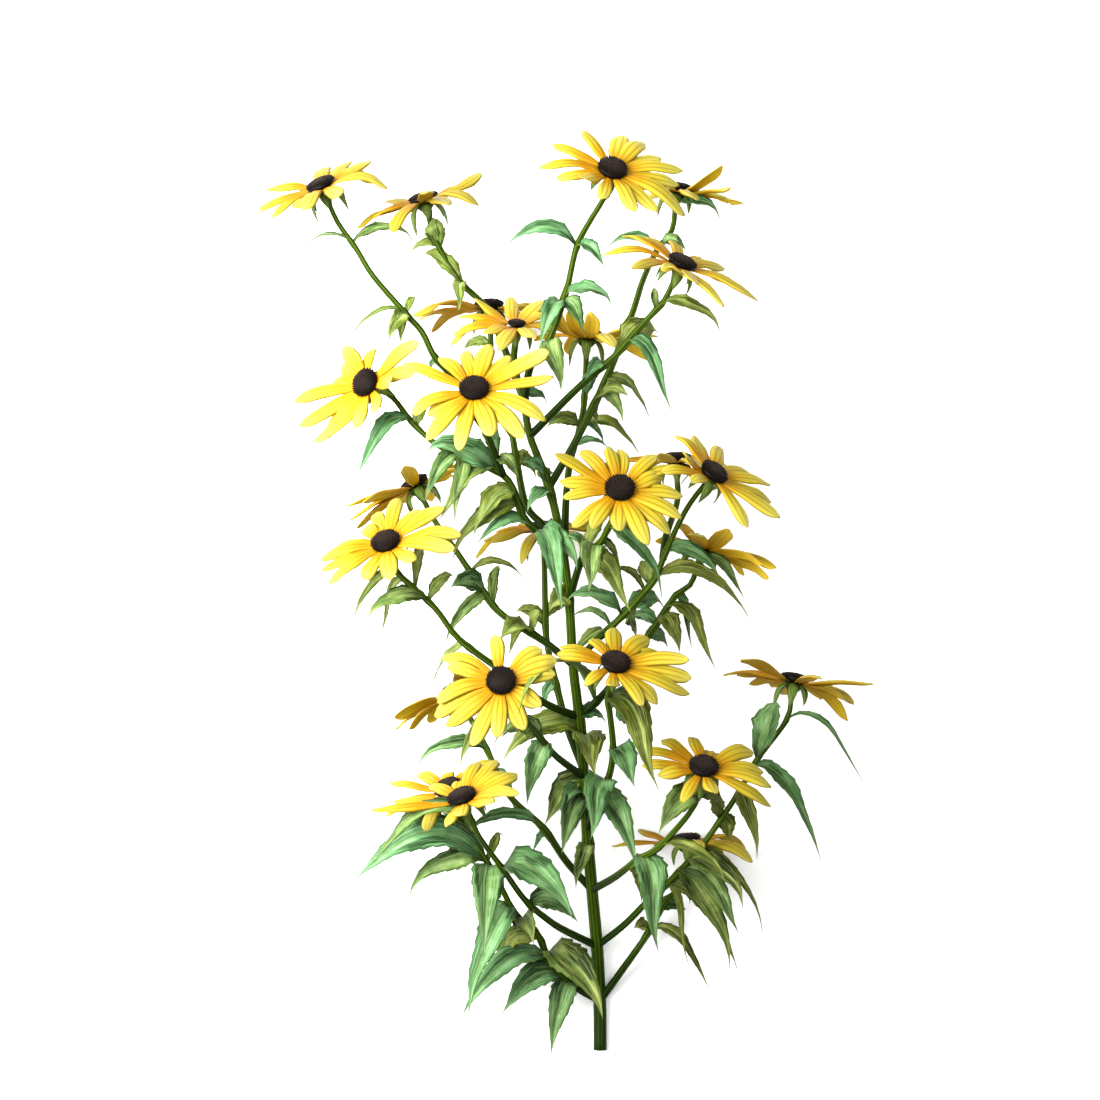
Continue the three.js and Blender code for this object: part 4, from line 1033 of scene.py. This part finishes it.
def disc_shape(look):
    """The dark disc round Z: a dome set with florets on the spiral that a flower head grows, which are
    smaller and stand straighter near its middle."""
    bm = new_shape("tone")
    add_dome(bm)
    tone, fine = bm.verts.layers.float["tone"], drawing(FLORET_SEED)
    for k in range(look.florets):
        share = math.sqrt((k + 0.5) / look.florets)
        reach = share * (DISC_DOME[0][0] - FLORET_MARGIN)
        angle = k * GOLDEN_ANGLE
        size = look.floret_size * (FLORET_INNER_SIZE + FLORET_SIZE_GAIN * share) * fine(*FLORET_SIZES)
        place = Matrix.Translation((reach * math.cos(angle), reach * math.sin(angle), disc_height(reach)))
        turn = Matrix.Rotation(angle, 4, "Z") @ Matrix.Rotation(share**3 * FLORET_LEAN, 4, "Y")
        made = bmesh.ops.create_cone(
            bm, cap_ends=True, segments=FLORET_SIDES, radius1=size * FLORET_FOOT, radius2=size * FLORET_TIP,
            depth=size * FLORET_HEIGHT, matrix=place @ turn,
        )
        # The florets' tone rises to the middle, where the disc's painted highlight is.
        for vertex in made["verts"]:
            vertex[tone] = 1 - share
    return new_mesh("disc", bm)


def stem_radii(line, radii, roots):
    """The radii of a stem along its line: it gets thinner, and is swollen where it bears a leaf."""
    sizes = []
    for k, place in enumerate(line):
        radius = radii[0] + (radii[1] - radii[0]) * k / (len(line) - 1)
        near = min(((place - root).length for root in roots), default=math.inf)
        sizes.append(radius * (1 + NODE_SWELLING * math.exp(-((near / NODE_REACH) ** 2))))
    return sizes


def add_stem(bm, line, sizes, sides, head, look):
    """A ridged stem swept along its line and opened into its bloom's cup."""
    rings = list(zip(line, sizes))
    rings += [(head.centre + head.axis * drop, radius) for drop, radius in CUP_PROFILE]
    made = bmesh.ops.create_circle(bm, cap_ends=True, radius=1, segments=sides)
    ring = made["verts"]
    tone, ridge = bm.verts.layers.float["tone"], bm.verts.layers.float["ridge"]
    for k, vertex in enumerate(sorted(ring, key=lambda v: math.atan2(v.co.y, v.co.x))):
        vertex[ridge] = k % 2
        vertex.co *= 1 + (look.ridge if k % 2 else -look.ridge)
    edges = list({edge for vertex in ring for edge in vertex.link_edges})
    side, before = PICTURE_RIGHT, Matrix.Identity(4)
    run = 0
    for k, (place, radius) in enumerate(rings):
        last = rings[max(0, k - 1)][0]
        after = rings[min(len(rings) - 1, k + 1)][0]
        forward = (after - last).normalized() if k < len(line) else head.axis
        side = square_to(side, forward)
        turn = Matrix((side * radius, forward.cross(side) * radius, forward * radius)).transposed().to_4x4()
        turn.translation = place
        if k > 0:
            grown = bmesh.ops.extrude_edge_only(bm, edges=edges)["geom"]
            ring = [item for item in grown if isinstance(item, bmesh.types.BMVert)]
            members = set(ring)
            edges = [item for item in grown if isinstance(item, bmesh.types.BMEdge)]
            edges = [edge for edge in edges if members.issuperset(edge.verts)]
            run += (place - last).length
        bmesh.ops.transform(bm, matrix=turn @ before.inverted(), verts=ring)
        # Painted shade: a stem is darker near where it starts, at the cut foot and in each axil.
        for vertex in ring:
            vertex[tone] = ease(run / AXIL_SHADE_REACH)
        before = turn
    bmesh.ops.edgeloop_fill(bm, edges=edges)


class Recipe:
    """Builds the nodes of a material or of a node group in plain steps."""

    def __init__(self, tree):
        self.tree = tree

    def node(self, kind, feeds=None, **settings):
        """A node with its settings, its sockets fed by name or number from values or other sockets."""
        made = self.tree.nodes.new(kind)
        for name, value in settings.items():
            setattr(made, name, value)
        for socket, value in (feeds or {}).items():
            self.feed(made.inputs[socket], value)
        return made

    def feed(self, socket, value):
        """Links a socket to another, or gives it a value, where a colour is its red, green and blue."""
        if isinstance(value, bpy.types.NodeSocket):
            self.tree.links.new(value, socket)
        else:
            socket.default_value = (*value, 1) if socket.type == "RGBA" else value

    def math(self, operation, *values, clamp=False):
        """The result of a sum, held between 0 and 1 where it is clamped."""
        made = self.node("ShaderNodeMath", dict(enumerate(values)), operation=operation, use_clamp=clamp)
        return made.outputs[0]

    def product(self, first, *others, clamp=False):
        """Several values multiplied."""
        for value in others:
            first = self.math("MULTIPLY", first, value, clamp=clamp)
        return first

    def most(self, first, *others):
        """The greatest of several values."""
        for value in others:
            first = self.math("MAXIMUM", first, value)
        return first

    def blend(self, share, first, second, kind="MIX"):
        """Two colours mixed by a share."""
        feeds = {0: share, 6: first, 7: second}
        made = self.node("ShaderNodeMix", feeds, data_type="RGBA", blend_type=kind)
        return made.outputs[2]

    def span(self, value, low, high, start=0, end=1):
        """A value brought smoothly from one range to another and held inside it."""
        feeds = {0: value, 1: low, 2: high, 3: start, 4: end}
        return self.node("ShaderNodeMapRange", feeds, interpolation_type="SMOOTHSTEP").outputs[0]

    def noise(self, places, scale, detail, contrast):
        """A noise about a half, made stronger or weaker by a contrast and held between 0 and 1."""
        feeds = {"Vector": places, "Scale": scale, "Detail": detail}
        noise = self.node("ShaderNodeTexNoise", feeds).outputs[0]
        centred = self.product(self.math("SUBTRACT", noise, 0.5), contrast)
        return self.math("ADD", centred, 0.5, clamp=True)

    def attribute(self, name):
        """A number that the vertices hold."""
        return self.node("ShaderNodeAttribute", attribute_name=name).outputs["Fac"]

    def along_sheet(self):
        """The shares across and along a leaf or ray, each from 0 to 1."""
        places = self.node("ShaderNodeUVMap", uv_map="UVMap").outputs[0]
        split = self.node("ShaderNodeSeparateXYZ", {0: places})
        return split.outputs[0], split.outputs[1]

    def from_midrib(self, across):
        """How far a place lies from the middle of a leaf or ray, from 0 to 1 at its margins."""
        return self.math("ABSOLUTE", self.math("SUBTRACT", self.product(across, 2), 1))

    def group(self, tree, **feeds):
        """The results of a node group."""
        made = self.node("ShaderNodeGroup", node_tree=tree)
        for name, value in feeds.items():
            self.feed(made.inputs[name], value)
        return made.outputs

    def coat(self, shader, colour, relief, strength, depth):
        """Gives a shader its colour and its relief, whose depth is in metres."""
        bump = self.node("ShaderNodeBump", {"Strength": strength, "Distance": depth, "Height": relief})
        self.feed(shader["Base Color"], colour)
        self.feed(shader["Normal"], bump.outputs[0])


def new_group(name, inputs, outputs):
    """A node group with named number sockets. Gives its recipe and its input and output nodes' sockets."""
    tree = bpy.data.node_groups.new(name, "ShaderNodeTree")
    for label, value in inputs.items():
        tree.interface.new_socket(label, in_out="INPUT", socket_type="NodeSocketFloat").default_value = value
    for label in outputs:
        tree.interface.new_socket(label, in_out="OUTPUT", socket_type="NodeSocketFloat")
    recipe = Recipe(tree)
    return recipe, recipe.node("NodeGroupInput").outputs, recipe.node("NodeGroupOutput").inputs


def mottle_group():
    """Soft blotches through the whole plant, of a size in millimetres."""
    recipe, given, result = new_group("Mottle", {"Size": 4, "Contrast": 1}, ["Share"])
    places = recipe.node("ShaderNodeTexCoord").outputs["Object"]
    scale = recipe.math("DIVIDE", 1 / MM, given["Size"])
    recipe.feed(result["Share"], recipe.noise(places, scale, detail=3, contrast=given["Contrast"]))
    return recipe.tree


def streak_group():
    """Fine streaks that run along a leaf or ray, and differ from one to the next by its tone."""
    recipe, given, result = new_group("Streaks", {"Across": 20, "Along": 2, "Contrast": 2}, ["Share"])
    across, along = recipe.along_sheet()
    feeds = {
        0: recipe.product(across, given["Across"]),
        1: recipe.product(along, given["Along"]),
        2: recipe.product(recipe.attribute("tone"), PATTERNS_APART),
    }
    places = recipe.node("ShaderNodeCombineXYZ", feeds).outputs[0]
    recipe.feed(result["Share"], recipe.noise(places, scale=1, detail=2, contrast=given["Contrast"]))
    return recipe.tree


def vein_group():
    """The midrib of a leaf and the side veins that curve forward from it."""
    usual = {"Pairs": 7, "Slant": 0.42, "Width": 0.16}
    recipe, given, result = new_group("Veins", usual, ["Side", "Midrib"])
    across, along = recipe.along_sheet()
    edge = recipe.from_midrib(across)
    bent = recipe.product(recipe.math("POWER", edge, VEIN_CURVE), given["Slant"])
    place = recipe.product(recipe.math("SUBTRACT", along, bent), given["Pairs"])
    side = recipe.span(recipe.math("PINGPONG", place, 0.5), 0, given["Width"], 1, 0)
    fading = recipe.span(edge, 0.5, 1, 1, 0.2)
    recipe.feed(result["Side"], recipe.product(side, fading))
    recipe.feed(result["Midrib"], recipe.span(edge, 0.02, 0.16, 1, 0))
    return recipe.tree


def groups_once():
    """The shared node groups, made the first time that they are asked for."""
    makers = {"Mottle": mottle_group, "Streaks": streak_group, "Veins": vein_group}
    return {name: bpy.data.node_groups.get(name) or make() for name, make in makers.items()}


def new_material(name, **finish):
    """A material, its recipe and its shader's sockets, with the finish that is the same all over it."""
    material = bpy.data.materials.new(name)
    material.use_nodes = True
    shader = material.node_tree.nodes["Principled BSDF"].inputs
    for socket, value in finish.items():
        shader[socket.replace("_", " ")].default_value = value
    return material, Recipe(material.node_tree), shader


def leaf_material(look, groups):
    """The leaf's upper side: dark at its margins, with painted shade at its base and on one half, lighter
    further out in zones that run along it, with painted highlights in patches, paler tips and fine lines,
    bluish, yellowish or olive from leaf to leaf, and darker low on the right in painted shade."""
    material, recipe, shader = new_material("leaf_upper", Roughness=0.45, Specular_IOR_Level=0.06)
    across, along = recipe.along_sheet()
    edge, tone = recipe.from_midrib(across), recipe.attribute("tone")
    veins = recipe.group(groups["Veins"], Pairs=8, Slant=0.46, Width=0.15)
    lines = recipe.group(groups["Streaks"], Across=26, Along=4, Contrast=3)["Share"]
    zones = recipe.group(groups["Streaks"], Across=2.2, Along=1.8, Contrast=3)["Share"]
    patches = recipe.group(groups["Mottle"], Size=9, Contrast=3.4)["Share"]

    bluish = recipe.span(tone, 0.56, 0.26, 0, 0.7)
    olive = recipe.span(tone, 0.66, 0.82, 0, 0.85)
    yellowish = recipe.span(tone, 0.3, 0.7)
    colour = recipe.blend(zones, look.deep, look.fresh)
    colour = recipe.blend(bluish, colour, look.blue)
    colour = recipe.blend(olive, colour, look.olive)
    pale = recipe.blend(yellowish, look.pale, look.straw)

    # Painted highlights in patches on the inner part of the leaf, together with its paler tips.
    inside = recipe.span(edge, 0.35, 0.95, 1, 0.1)
    tip = recipe.span(along, 0.6, 1, 0, 0.8)
    light = recipe.most(recipe.product(patches, zones, inside), tip)
    colour = recipe.blend(light, colour, pale)

    between_zones = recipe.span(zones, 0.15, 0.5, 0.75, 0)
    before_tip = recipe.span(along, 0.55, 1, 1, 0.2)
    # Painted shade: darker near the stalk end and on one half of the leaf.
    base = recipe.span(along, 0, 0.32, 0.85, 0)
    shaded_half = recipe.span(across, 0.44, 0.56, 0, 0.35)
    margin = recipe.span(edge, 0.86, 1, 0, 0.65)
    dark = recipe.most(recipe.product(between_zones, before_tip), base, shaded_half, margin)
    colour = recipe.blend(dark, colour, look.deep)

    dark_lines = recipe.span(lines, 0.15, 0.6, 0.5, 0)
    pale_lines = recipe.span(lines, 0.6, 0.95, 0, 0.3)
    ribs = recipe.most(recipe.product(veins["Side"], SIDE_VEINS), veins["Midrib"])
    colour = recipe.blend(dark_lines, colour, look.deep)
    colour = recipe.blend(pale_lines, colour, pale)
    colour = recipe.blend(recipe.product(ribs, UPPER_VEINS), colour, look.vein)
    # Painted shade: a tint darkens the leaves low on the right, and the sepals.
    colour = recipe.blend(recipe.attribute("shade"), colour, look.leaf_shade_tint, "MULTIPLY")
    relief = recipe.math("SUBTRACT", recipe.product(lines, 0.3), ribs)
    recipe.coat(shader, colour, relief, strength=0.6, depth=0.0006)
    return material


def leaf_under_material(look, groups):
    """The leaf's underside: dull yellow green with raised veins."""
    material, recipe, shader = new_material("leaf_under", Roughness=0.6, Specular_IOR_Level=0.08)
    veins = recipe.group(groups["Veins"], Pairs=7, Slant=0.42, Width=0.2)
    streaks = recipe.group(groups["Streaks"], Across=10, Along=3, Contrast=2.4)["Share"]
    colour = recipe.blend(streaks, look.under_deep, look.under)
    ribs = recipe.most(recipe.product(veins["Side"], SIDE_VEINS), veins["Midrib"])
    colour = recipe.blend(recipe.product(ribs, UNDER_VEINS), colour, look.vein)
    recipe.coat(shader, colour, ribs, strength=0.6, depth=0.0005)
    return material


def ray_material(name, groups, root, middle, tip, line, ray_shade_tint, **finish):
    """One side of a ray: orange at its root and yellow further out, with fine lines along it and a darker
    rim, and a golden tint of painted shade on the plant's darker side."""
    material, recipe, shader = new_material(name, **finish)
    across, along = recipe.along_sheet()
    streaks = recipe.group(groups["Streaks"], Across=16, Along=1.5, Contrast=2.2)["Share"]
    ragged = recipe.product(recipe.math("SUBTRACT", streaks, 0.5), RAY_RAGGED)
    # Painted shade: the root's orange reaches further out on the left rays of a bloom seen from its side.
    reach = recipe.math("SUBTRACT", recipe.math("ADD", along, ragged), recipe.attribute("flush"))
    past_root = recipe.span(reach, 0.04, 0.42)
    near_tip = recipe.span(reach, 0.35, 0.95)
    colour = recipe.blend(past_root, root, middle)
    colour = recipe.blend(near_tip, colour, tip)

    waves = recipe.math("COSINE", recipe.product(across, 2 * RAY_FOLDS * math.pi))
    folds = recipe.span(waves, 0.35, 1)
    fading = recipe.span(along, 0.3, 1, 0.75, 0.4)
    margin = recipe.span(recipe.from_midrib(across), 0.8, 1, 0, 0.65)
    end = recipe.span(along, 0.93, 1, 0, 0.5)
    colour = recipe.blend(recipe.product(folds, fading), colour, line)
    colour = recipe.blend(recipe.most(margin, end), colour, line)
    # Painted shade: a golden tint darkens the rays on the plant's darker side.
    colour = recipe.blend(recipe.attribute("shade"), colour, ray_shade_tint, "MULTIPLY")
    recipe.coat(shader, colour, streaks, strength=0.3, depth=0.0003)
    return material


def ray_materials(look, groups):
    """The upper side of the rays and their duller, darker underside, which is partly its own colour and
    partly painted shade.
    """
    upper = ray_material(
        "ray_upper", groups, look.root, look.middle, look.tip, look.line, look.ray_shade_tint,
        Roughness=0.5, Specular_IOR_Level=0.06,
    )
    under = ray_material(
        "ray_under", groups, look.under_root, look.under, look.under_tip, look.under_root, look.ray_shade_tint,
        Roughness=0.55, Specular_IOR_Level=0.05,
    )
    return upper, under


def disc_material(look, groups):
    """The disc: nearly black brown at its rim, greyer in the middle as a painted highlight."""
    material, recipe, shader = new_material("disc_florets", Roughness=0.5, Specular_IOR_Level=0.08)
    mottle = recipe.group(groups["Mottle"], Size=1.2, Contrast=2)["Share"]
    uneven = recipe.span(mottle, 0, 1, 0.6, 1.3)
    share = recipe.product(recipe.attribute("tone"), uneven, clamp=True)
    recipe.feed(shader["Base Color"], recipe.blend(share, look.rim, look.middle))
    return material


def stem_material(look, groups):
    """The stem: dark green in painted shade low down and in the axils, lighter green above, with paler
    ridges.
    """
    material, recipe, shader = new_material("stem_skin", Roughness=0.5, Specular_IOR_Level=0.04)
    mottle = recipe.group(groups["Mottle"], Size=6, Contrast=1.8)["Share"]
    ridge = recipe.span(recipe.attribute("ridge"), 0.2, 0.9)
    fresh = recipe.blend(recipe.product(ridge, 0.75), look.fresh, look.ridge_colour)
    dark = recipe.blend(recipe.product(ridge, 0.6), look.dark, look.fresh)
    uneven = recipe.span(mottle, 0, 1, 0.75, 1.2)
    share = recipe.product(recipe.attribute("tone"), uneven, clamp=True)
    recipe.coat(shader, recipe.blend(share, dark, fresh), mottle, strength=0.2, depth=0.0003)
    return material


def floor_material(look):
    """A smooth, pale paper floor."""
    material, recipe, shader = new_material("pale_paper", Roughness=0.9)
    recipe.feed(shader["Base Color"], look.floor)
    return material


def a_colour(name, description, default):
    """A colour setting."""
    return FloatVectorProperty(
        name=name, description=description, default=default, subtype="COLOR", size=3, min=0, max=1
    )


def a_length(name, description, default):
    """A length setting, in metres."""
    return FloatProperty(
        name=name, description=description, default=default, subtype="DISTANCE", unit="LENGTH", precision=5
    )


def a_number(name, description, default, unit="NONE"):
    """A number setting, which is an angle or a power where its unit says so."""
    return FloatProperty(name=name, description=description, default=default, unit=unit)


def a_count(name, description, default):
    """A whole number setting."""
    return IntProperty(name=name, description=description, default=default)


class StemSettings(bpy.types.PropertyGroup):
    """Sizes and colours of the stems and cups."""

    main_sides: a_count("Main stem sides", "Sides of the main stem", 20)
    sides: a_count("Branch sides", "Sides of a branch", 12)
    ridge: a_number("Ridge", "How far ridges stand out, by radius", 0.045)
    # Painted shade: the dark green of the axils and of the grooves.
    dark: a_colour("Dark", "Green of the axils and the shaded grooves", (0.004, 0.012, 0.001))
    fresh: a_colour("Fresh", "Green of the upper stems", (0.015, 0.031, 0.001))
    ridge_colour: a_colour("Ridge colour", "Green of the ridges", (0.054, 0.092, 0.004))


class LeafSettings(bpy.types.PropertyGroup):
    """Sizes and colours of the leaves and sepals."""

    thickness: a_length("Thickness", "Thickness of a leaf", 0.0005)
    tooth_spacing: a_length("Tooth spacing", "Distance from tooth to tooth", 0.006)
    tooth_depth: a_number("Tooth depth", "By the leaf's half width", 0.17)
    leaf_fold: a_number("Fold", "Rise of the halves from the midrib", 0.7)
    leaf_dome: a_number("Dome", "Fall of the halves to the margin", 0.38)
    leaf_ripple: a_number("Ripple", "Waves of the margin", 0.22)
    leaf_sway: a_number("Sway", "Most that a leaf bends to and fro, by length", 0.045)
    leaf_twist: a_number("Twist", "Most that a leaf twists along its length", 0.6, "ROTATION")
    deep: a_colour("Deep green", "Shaded parts of the upper side", (0.007, 0.019, 0.0015))
    fresh: a_colour("Fresh green", "Light streaks of the upper side", (0.137, 0.25, 0.045))
    blue: a_colour("Bluish green", "Tint of the bluish leaves", (0.076, 0.245, 0.098))
    olive: a_colour("Olive", "Tint of the older leaves", (0.146, 0.184, 0.012))
    # Pale and straw also paint the highlights in the leaves' light patches.
    pale: a_colour("Pale", "Light patches and tips of the bluish leaves", (0.24, 0.47, 0.24))
    straw: a_colour("Straw", "Light patches and tips of the yellowish leaves", (0.4, 0.5, 0.16))
    # Painted shade for the leaves low on the right and for the sepals.
    leaf_shade_tint: a_colour("Dusk", "Tint of the leaves low on the right", (0.66, 0.57, 0.47))
    vein: a_colour("Vein", "Midrib and side veins", (0.14, 0.25, 0.08))
    under: a_colour("Underside", "Light streaks of the underside", (0.1, 0.145, 0.018))
    under_deep: a_colour("Deep underside", "Shaded parts of the underside", (0.026, 0.045, 0.005))


class RaySettings(bpy.types.PropertyGroup):
    """Sizes and colours of the yellow rays."""

    ray_width: a_length("Width", "Greatest width of a ray", 0.0106)
    ray_turn: a_number("Turn", "How much the outer part turns to lie level", 0.2)
    thickness: a_length("Thickness", "Thickness of a ray", 0.00045)
    ray_groove: a_length("Groove", "Depth of the two grooves", 0.0005)
    ray_bow: a_number("Bow", "Fall of the margins, by half width", 0.22)
    ray_roll: a_number("Roll", "Most that a ray rolls to its tip", 0.35, "ROTATION")
    ray_notch: a_length("Notch", "Most depth of the tip's notch", 0.0012)
    ray_hook: a_length("Hook", "Most that a tip bends down", 0.0028)
    ray_sway: a_length("Sway", "Most that a ray bends to and fro", 0.001)
    ray_ripple: a_length("Ripple", "Waves of the margins", 0.0005)
    root: a_colour("Root", "Orange at the disc", (0.44, 0.2, 0.004))
    middle: a_colour("Middle", "Yellow of the middle", (0.44, 0.35, 0.025))
    tip: a_colour("Tip", "Yellow of the outer half", (0.445, 0.41, 0.08))
    line: a_colour("Lines", "Orange of the fine lines", (0.24, 0.14, 0.006))
    # Painted shade for the blooms low on the right.
    ray_shade_tint: a_colour("Gold", "Tint of the blooms low on the right", (0.58, 0.56, 0.44))
    under_root: a_colour("Underside root", "Brown orange at the cup", (0.45, 0.24, 0.004))
    under: a_colour("Underside", "Middle of the underside", (0.56, 0.37, 0.014))
    under_tip: a_colour("Underside tip", "Outer half of the underside", (0.6, 0.45, 0.035))


class DiscSettings(bpy.types.PropertyGroup):
    """Sizes and colours of the dark discs."""

    florets: a_count("Florets", "Number on a disc", 210)
    floret_size: a_length("Floret", "Width of a floret", 0.00125)
    rim: a_colour("Rim", "Brown of the outer florets", (0.002, 0.0009, 0.0004))
    # Painted highlight: the grey of the inner florets.
    middle: a_colour("Middle", "Brown of the inner florets", (0.027, 0.017, 0.012))


class StageSettings(bpy.types.PropertyGroup):
    """The floor and the light."""

    floor_side: a_length("Floor side", "Side of the square floor", 12)
    floor: a_colour("Floor", "Colour of the floor", (0.95, 0.95, 0.95))
    key_power: a_number("Key light", "Power of the light on the left", 128, "POWER")
    fill_power: a_number("Fill light", "Power of the light overhead", 28, "POWER")
    daylight: a_number("Daylight", "Strength of the light from all round", 0.3)


class ConeflowerSettings(bpy.types.PropertyGroup):
    """All that a user may change."""

    stems: PointerProperty(type=StemSettings)
    leaves: PointerProperty(type=LeafSettings)
    rays: PointerProperty(type=RaySettings)
    discs: PointerProperty(type=DiscSettings)
    stage: PointerProperty(type=StageSettings)


class CONEFLOWER_OT_stems(bpy.types.Operator):
    """Grows the main stem, the branches and the green cups that carry the blooms"""

    bl_idname = "coneflower.stems"
    bl_label = "Stems and cups"

    def execute(self, context):
        look = context.scene.coneflower.stems
        lines = stem_lines()
        skin = stem_material(look, groups_once())
        shapes = defaultdict(lambda: new_shape("tone", "ridge"))
        for name, stem in STEMS.items():
            line = lines[name]
            radii, sides = (BRANCH_RADII, look.sides) if stem.root else (MAIN_RADII, look.main_sides)
            sizes = stem_radii(line, radii, [nearest(line, *leaf[:2]) for leaf in stem.leaves])
            add_stem(shapes[node_of(name)], line, sizes, sides, Head(BLOOMS[stem.bloom]), look)
        for node, bm in shapes.items():
            for vertex in bm.verts:
                vertex.co.z = max(vertex.co.z, 0)
            bmesh.ops.recalc_face_normals(bm, faces=bm.faces[:])
            new_piece("stalks_" + node, new_mesh("stalks_" + node, bm), node, "green", skin)
        return {"FINISHED"}


class CONEFLOWER_OT_leaves(bpy.types.Operator):
    """Grows the toothed leaves and the sepals under the blooms"""

    bl_idname = "coneflower.leaves"
    bl_label = "Leaves and sepals"

    def execute(self, context):
        look = context.scene.coneflower.leaves
        lines = stem_lines()
        groups = groups_once()
        upper, under = leaf_material(look, groups), leaf_under_material(look, groups)
        shapes = defaultdict(new_sheets)
        for order, (name, stem) in enumerate(STEMS.items()):
            bm = shapes[node_of(name)]
            for k, leaf in enumerate(stem.leaves):
                seed = SEEDS_PER_STEM * order + k
                add_leaf(bm, lines[name], Leaf(*leaf), stem.yellowing, seed, look)
            add_sepals(bm, stem.bloom, Head(BLOOMS[stem.bloom]))
        for node, bm in shapes.items():
            piece = new_piece("leaves_" + node, new_mesh("leaves_" + node, bm), node, "green", upper, under)
            thicken(piece, look.thickness)
        return {"FINISHED"}


class CONEFLOWER_OT_rays(bpy.types.Operator):
    """Opens the yellow rays of each bloom"""

    bl_idname = "coneflower.rays"
    bl_label = "Rays"

    def execute(self, context):
        look = context.scene.coneflower.rays
        upper, under = ray_materials(look, groups_once())
        for number, bloom in BLOOMS.items():
            bm = new_sheets("flush")
            # Painted shade on the rays: from their place on the plant and from the bloom's own shade.
            dimness = held(shade_at(*bloom.at) + bloom.shade)
            fine, head = drawing(RAY_LOOK_SEED + number), Head(bloom)
            for angle, spine in ray_spines(number, bloom, head):
                add_ray(bm, head, angle, spine, dimness, fine, look)
            name = f"petals_{number}"
            piece = new_piece(name, new_mesh(name, bm), f"rays_{number}", "ray", upper, under)
            thicken(piece, look.thickness)
        return {"FINISHED"}


class CONEFLOWER_OT_discs(bpy.types.Operator):
    """Sets the dark disc of florets in each bloom"""

    bl_idname = "coneflower.discs"
    bl_label = "Discs"

    def execute(self, context):
        look = context.scene.coneflower.discs
        material = disc_material(look, groups_once())
        pattern = disc_shape(look)
        for number, bloom in BLOOMS.items():
            mesh = pattern.copy()
            # Each disc is turned by its number, in radians, so that no two look alike.
            turn = Matrix.Rotation(number, 4, "Z")
            mesh.transform(Head(bloom).matrix(DISC_FOOT, bloom.disc) @ turn)
            new_piece(f"florets_{number}", mesh, f"disc_{number}", "disc", material)
        bpy.data.meshes.remove(pattern)
        return {"FINISHED"}


class CONEFLOWER_OT_stage(bpy.types.Operator):
    """Sets the pale floor, the soft light and the camera that looks straight down"""

    bl_idname = "coneflower.stage"
    bl_label = "Floor, light and camera"

    def execute(self, context):
        look = context.scene.coneflower.stage
        scene = context.scene
        middle = (Vector(CAD_BOX[0]) + Vector(CAD_BOX[1])) / 2
        add_floor(scene, look)
        add_light(scene, "key_light", middle, KEY_PLACE, KEY_SIZE, look.key_power)
        add_light(scene, "fill_light", middle, FILL_PLACE, FILL_SIZE, look.fill_power)
        add_daylight(scene, look.daylight)
        add_camera(scene)
        scene.view_settings.view_transform = "Standard"
        return {"FINISHED"}


def add_floor(scene, look):
    """The floor, a hair under the surface that the plant lies on."""
    bm = new_shape()
    bmesh.ops.create_grid(bm, x_segments=1, y_segments=1, size=look.floor_side / 2)
    mesh = new_mesh("floor", bm)
    mesh.materials.append(floor_material(look))
    floor = bpy.data.objects.new("floor", mesh)
    floor.location.z = -FLOOR_GAP
    scene.collection.objects.link(floor)


def add_light(scene, name, middle, place, side, power):
    """A square soft box that faces the plant."""
    lamp = bpy.data.lights.new(name, "AREA")
    lamp.size = side
    lamp.energy = power
    light = bpy.data.objects.new(name, lamp)
    light.location = middle + Vector(place)
    light.rotation_euler = (-Vector(place)).to_track_quat("-Z", "Y").to_euler()
    scene.collection.objects.link(light)


def add_daylight(scene, strength):
    """White light from all round."""
    world = bpy.data.worlds.new("daylight")
    world.use_nodes = True
    sky = world.node_tree.nodes["Background"].inputs
    sky["Color"].default_value = (1, 1, 1, 1)
    sky["Strength"].default_value = strength
    scene.world = world


def add_camera(scene):
    """The photograph's camera: above its middle, looking straight down, with the whole frame in view."""
    lens = bpy.data.cameras.new("photo_camera")
    lens.sensor_width = SENSOR_WIDTH
    lens.lens = SENSOR_WIDTH * EYE_HEIGHT / (PHOTO_SIDE * PIXEL)
    camera = bpy.data.objects.new("photo_camera", lens)
    camera.location = EYE
    scene.collection.objects.link(camera)
    scene.camera = camera


class CONEFLOWER_PT_panel(bpy.types.Panel):
    """The coneflower's steps and settings"""

    bl_label = "Coneflower"
    bl_idname = "CONEFLOWER_PT_panel"
    bl_space_type = "VIEW_3D"
    bl_region_type = "UI"
    bl_category = "Coneflower"

    def draw(self, context):
        settings = context.scene.coneflower
        for step, group in STEPS:
            box = self.layout.box()
            box.operator(step.bl_idname)
            look = getattr(settings, group)
            for name in look.bl_rna.properties.keys():
                if name not in ("rna_type", "name"):
                    box.prop(look, name)


STEPS = (
    (CONEFLOWER_OT_stage, "stage"),
    (CONEFLOWER_OT_stems, "stems"),
    (CONEFLOWER_OT_leaves, "leaves"),
    (CONEFLOWER_OT_rays, "rays"),
    (CONEFLOWER_OT_discs, "discs"),
)
CLASSES = (
    StemSettings, LeafSettings, RaySettings, DiscSettings, StageSettings, ConeflowerSettings,
    *(step for step, _ in STEPS), CONEFLOWER_PT_panel,
)


def register():
    for kind in CLASSES:
        bpy.utils.register_class(kind)
    bpy.types.Scene.coneflower = PointerProperty(type=ConeflowerSettings)


def unregister():
    del bpy.types.Scene.coneflower
    for kind in reversed(CLASSES):
        bpy.utils.unregister_class(kind)


def main():
    register()
    bpy.ops.coneflower.stage()
    bpy.ops.coneflower.stems()
    bpy.ops.coneflower.leaves()
    bpy.ops.coneflower.rays()
    bpy.ops.coneflower.discs()


if __name__ == "__main__":
    main()
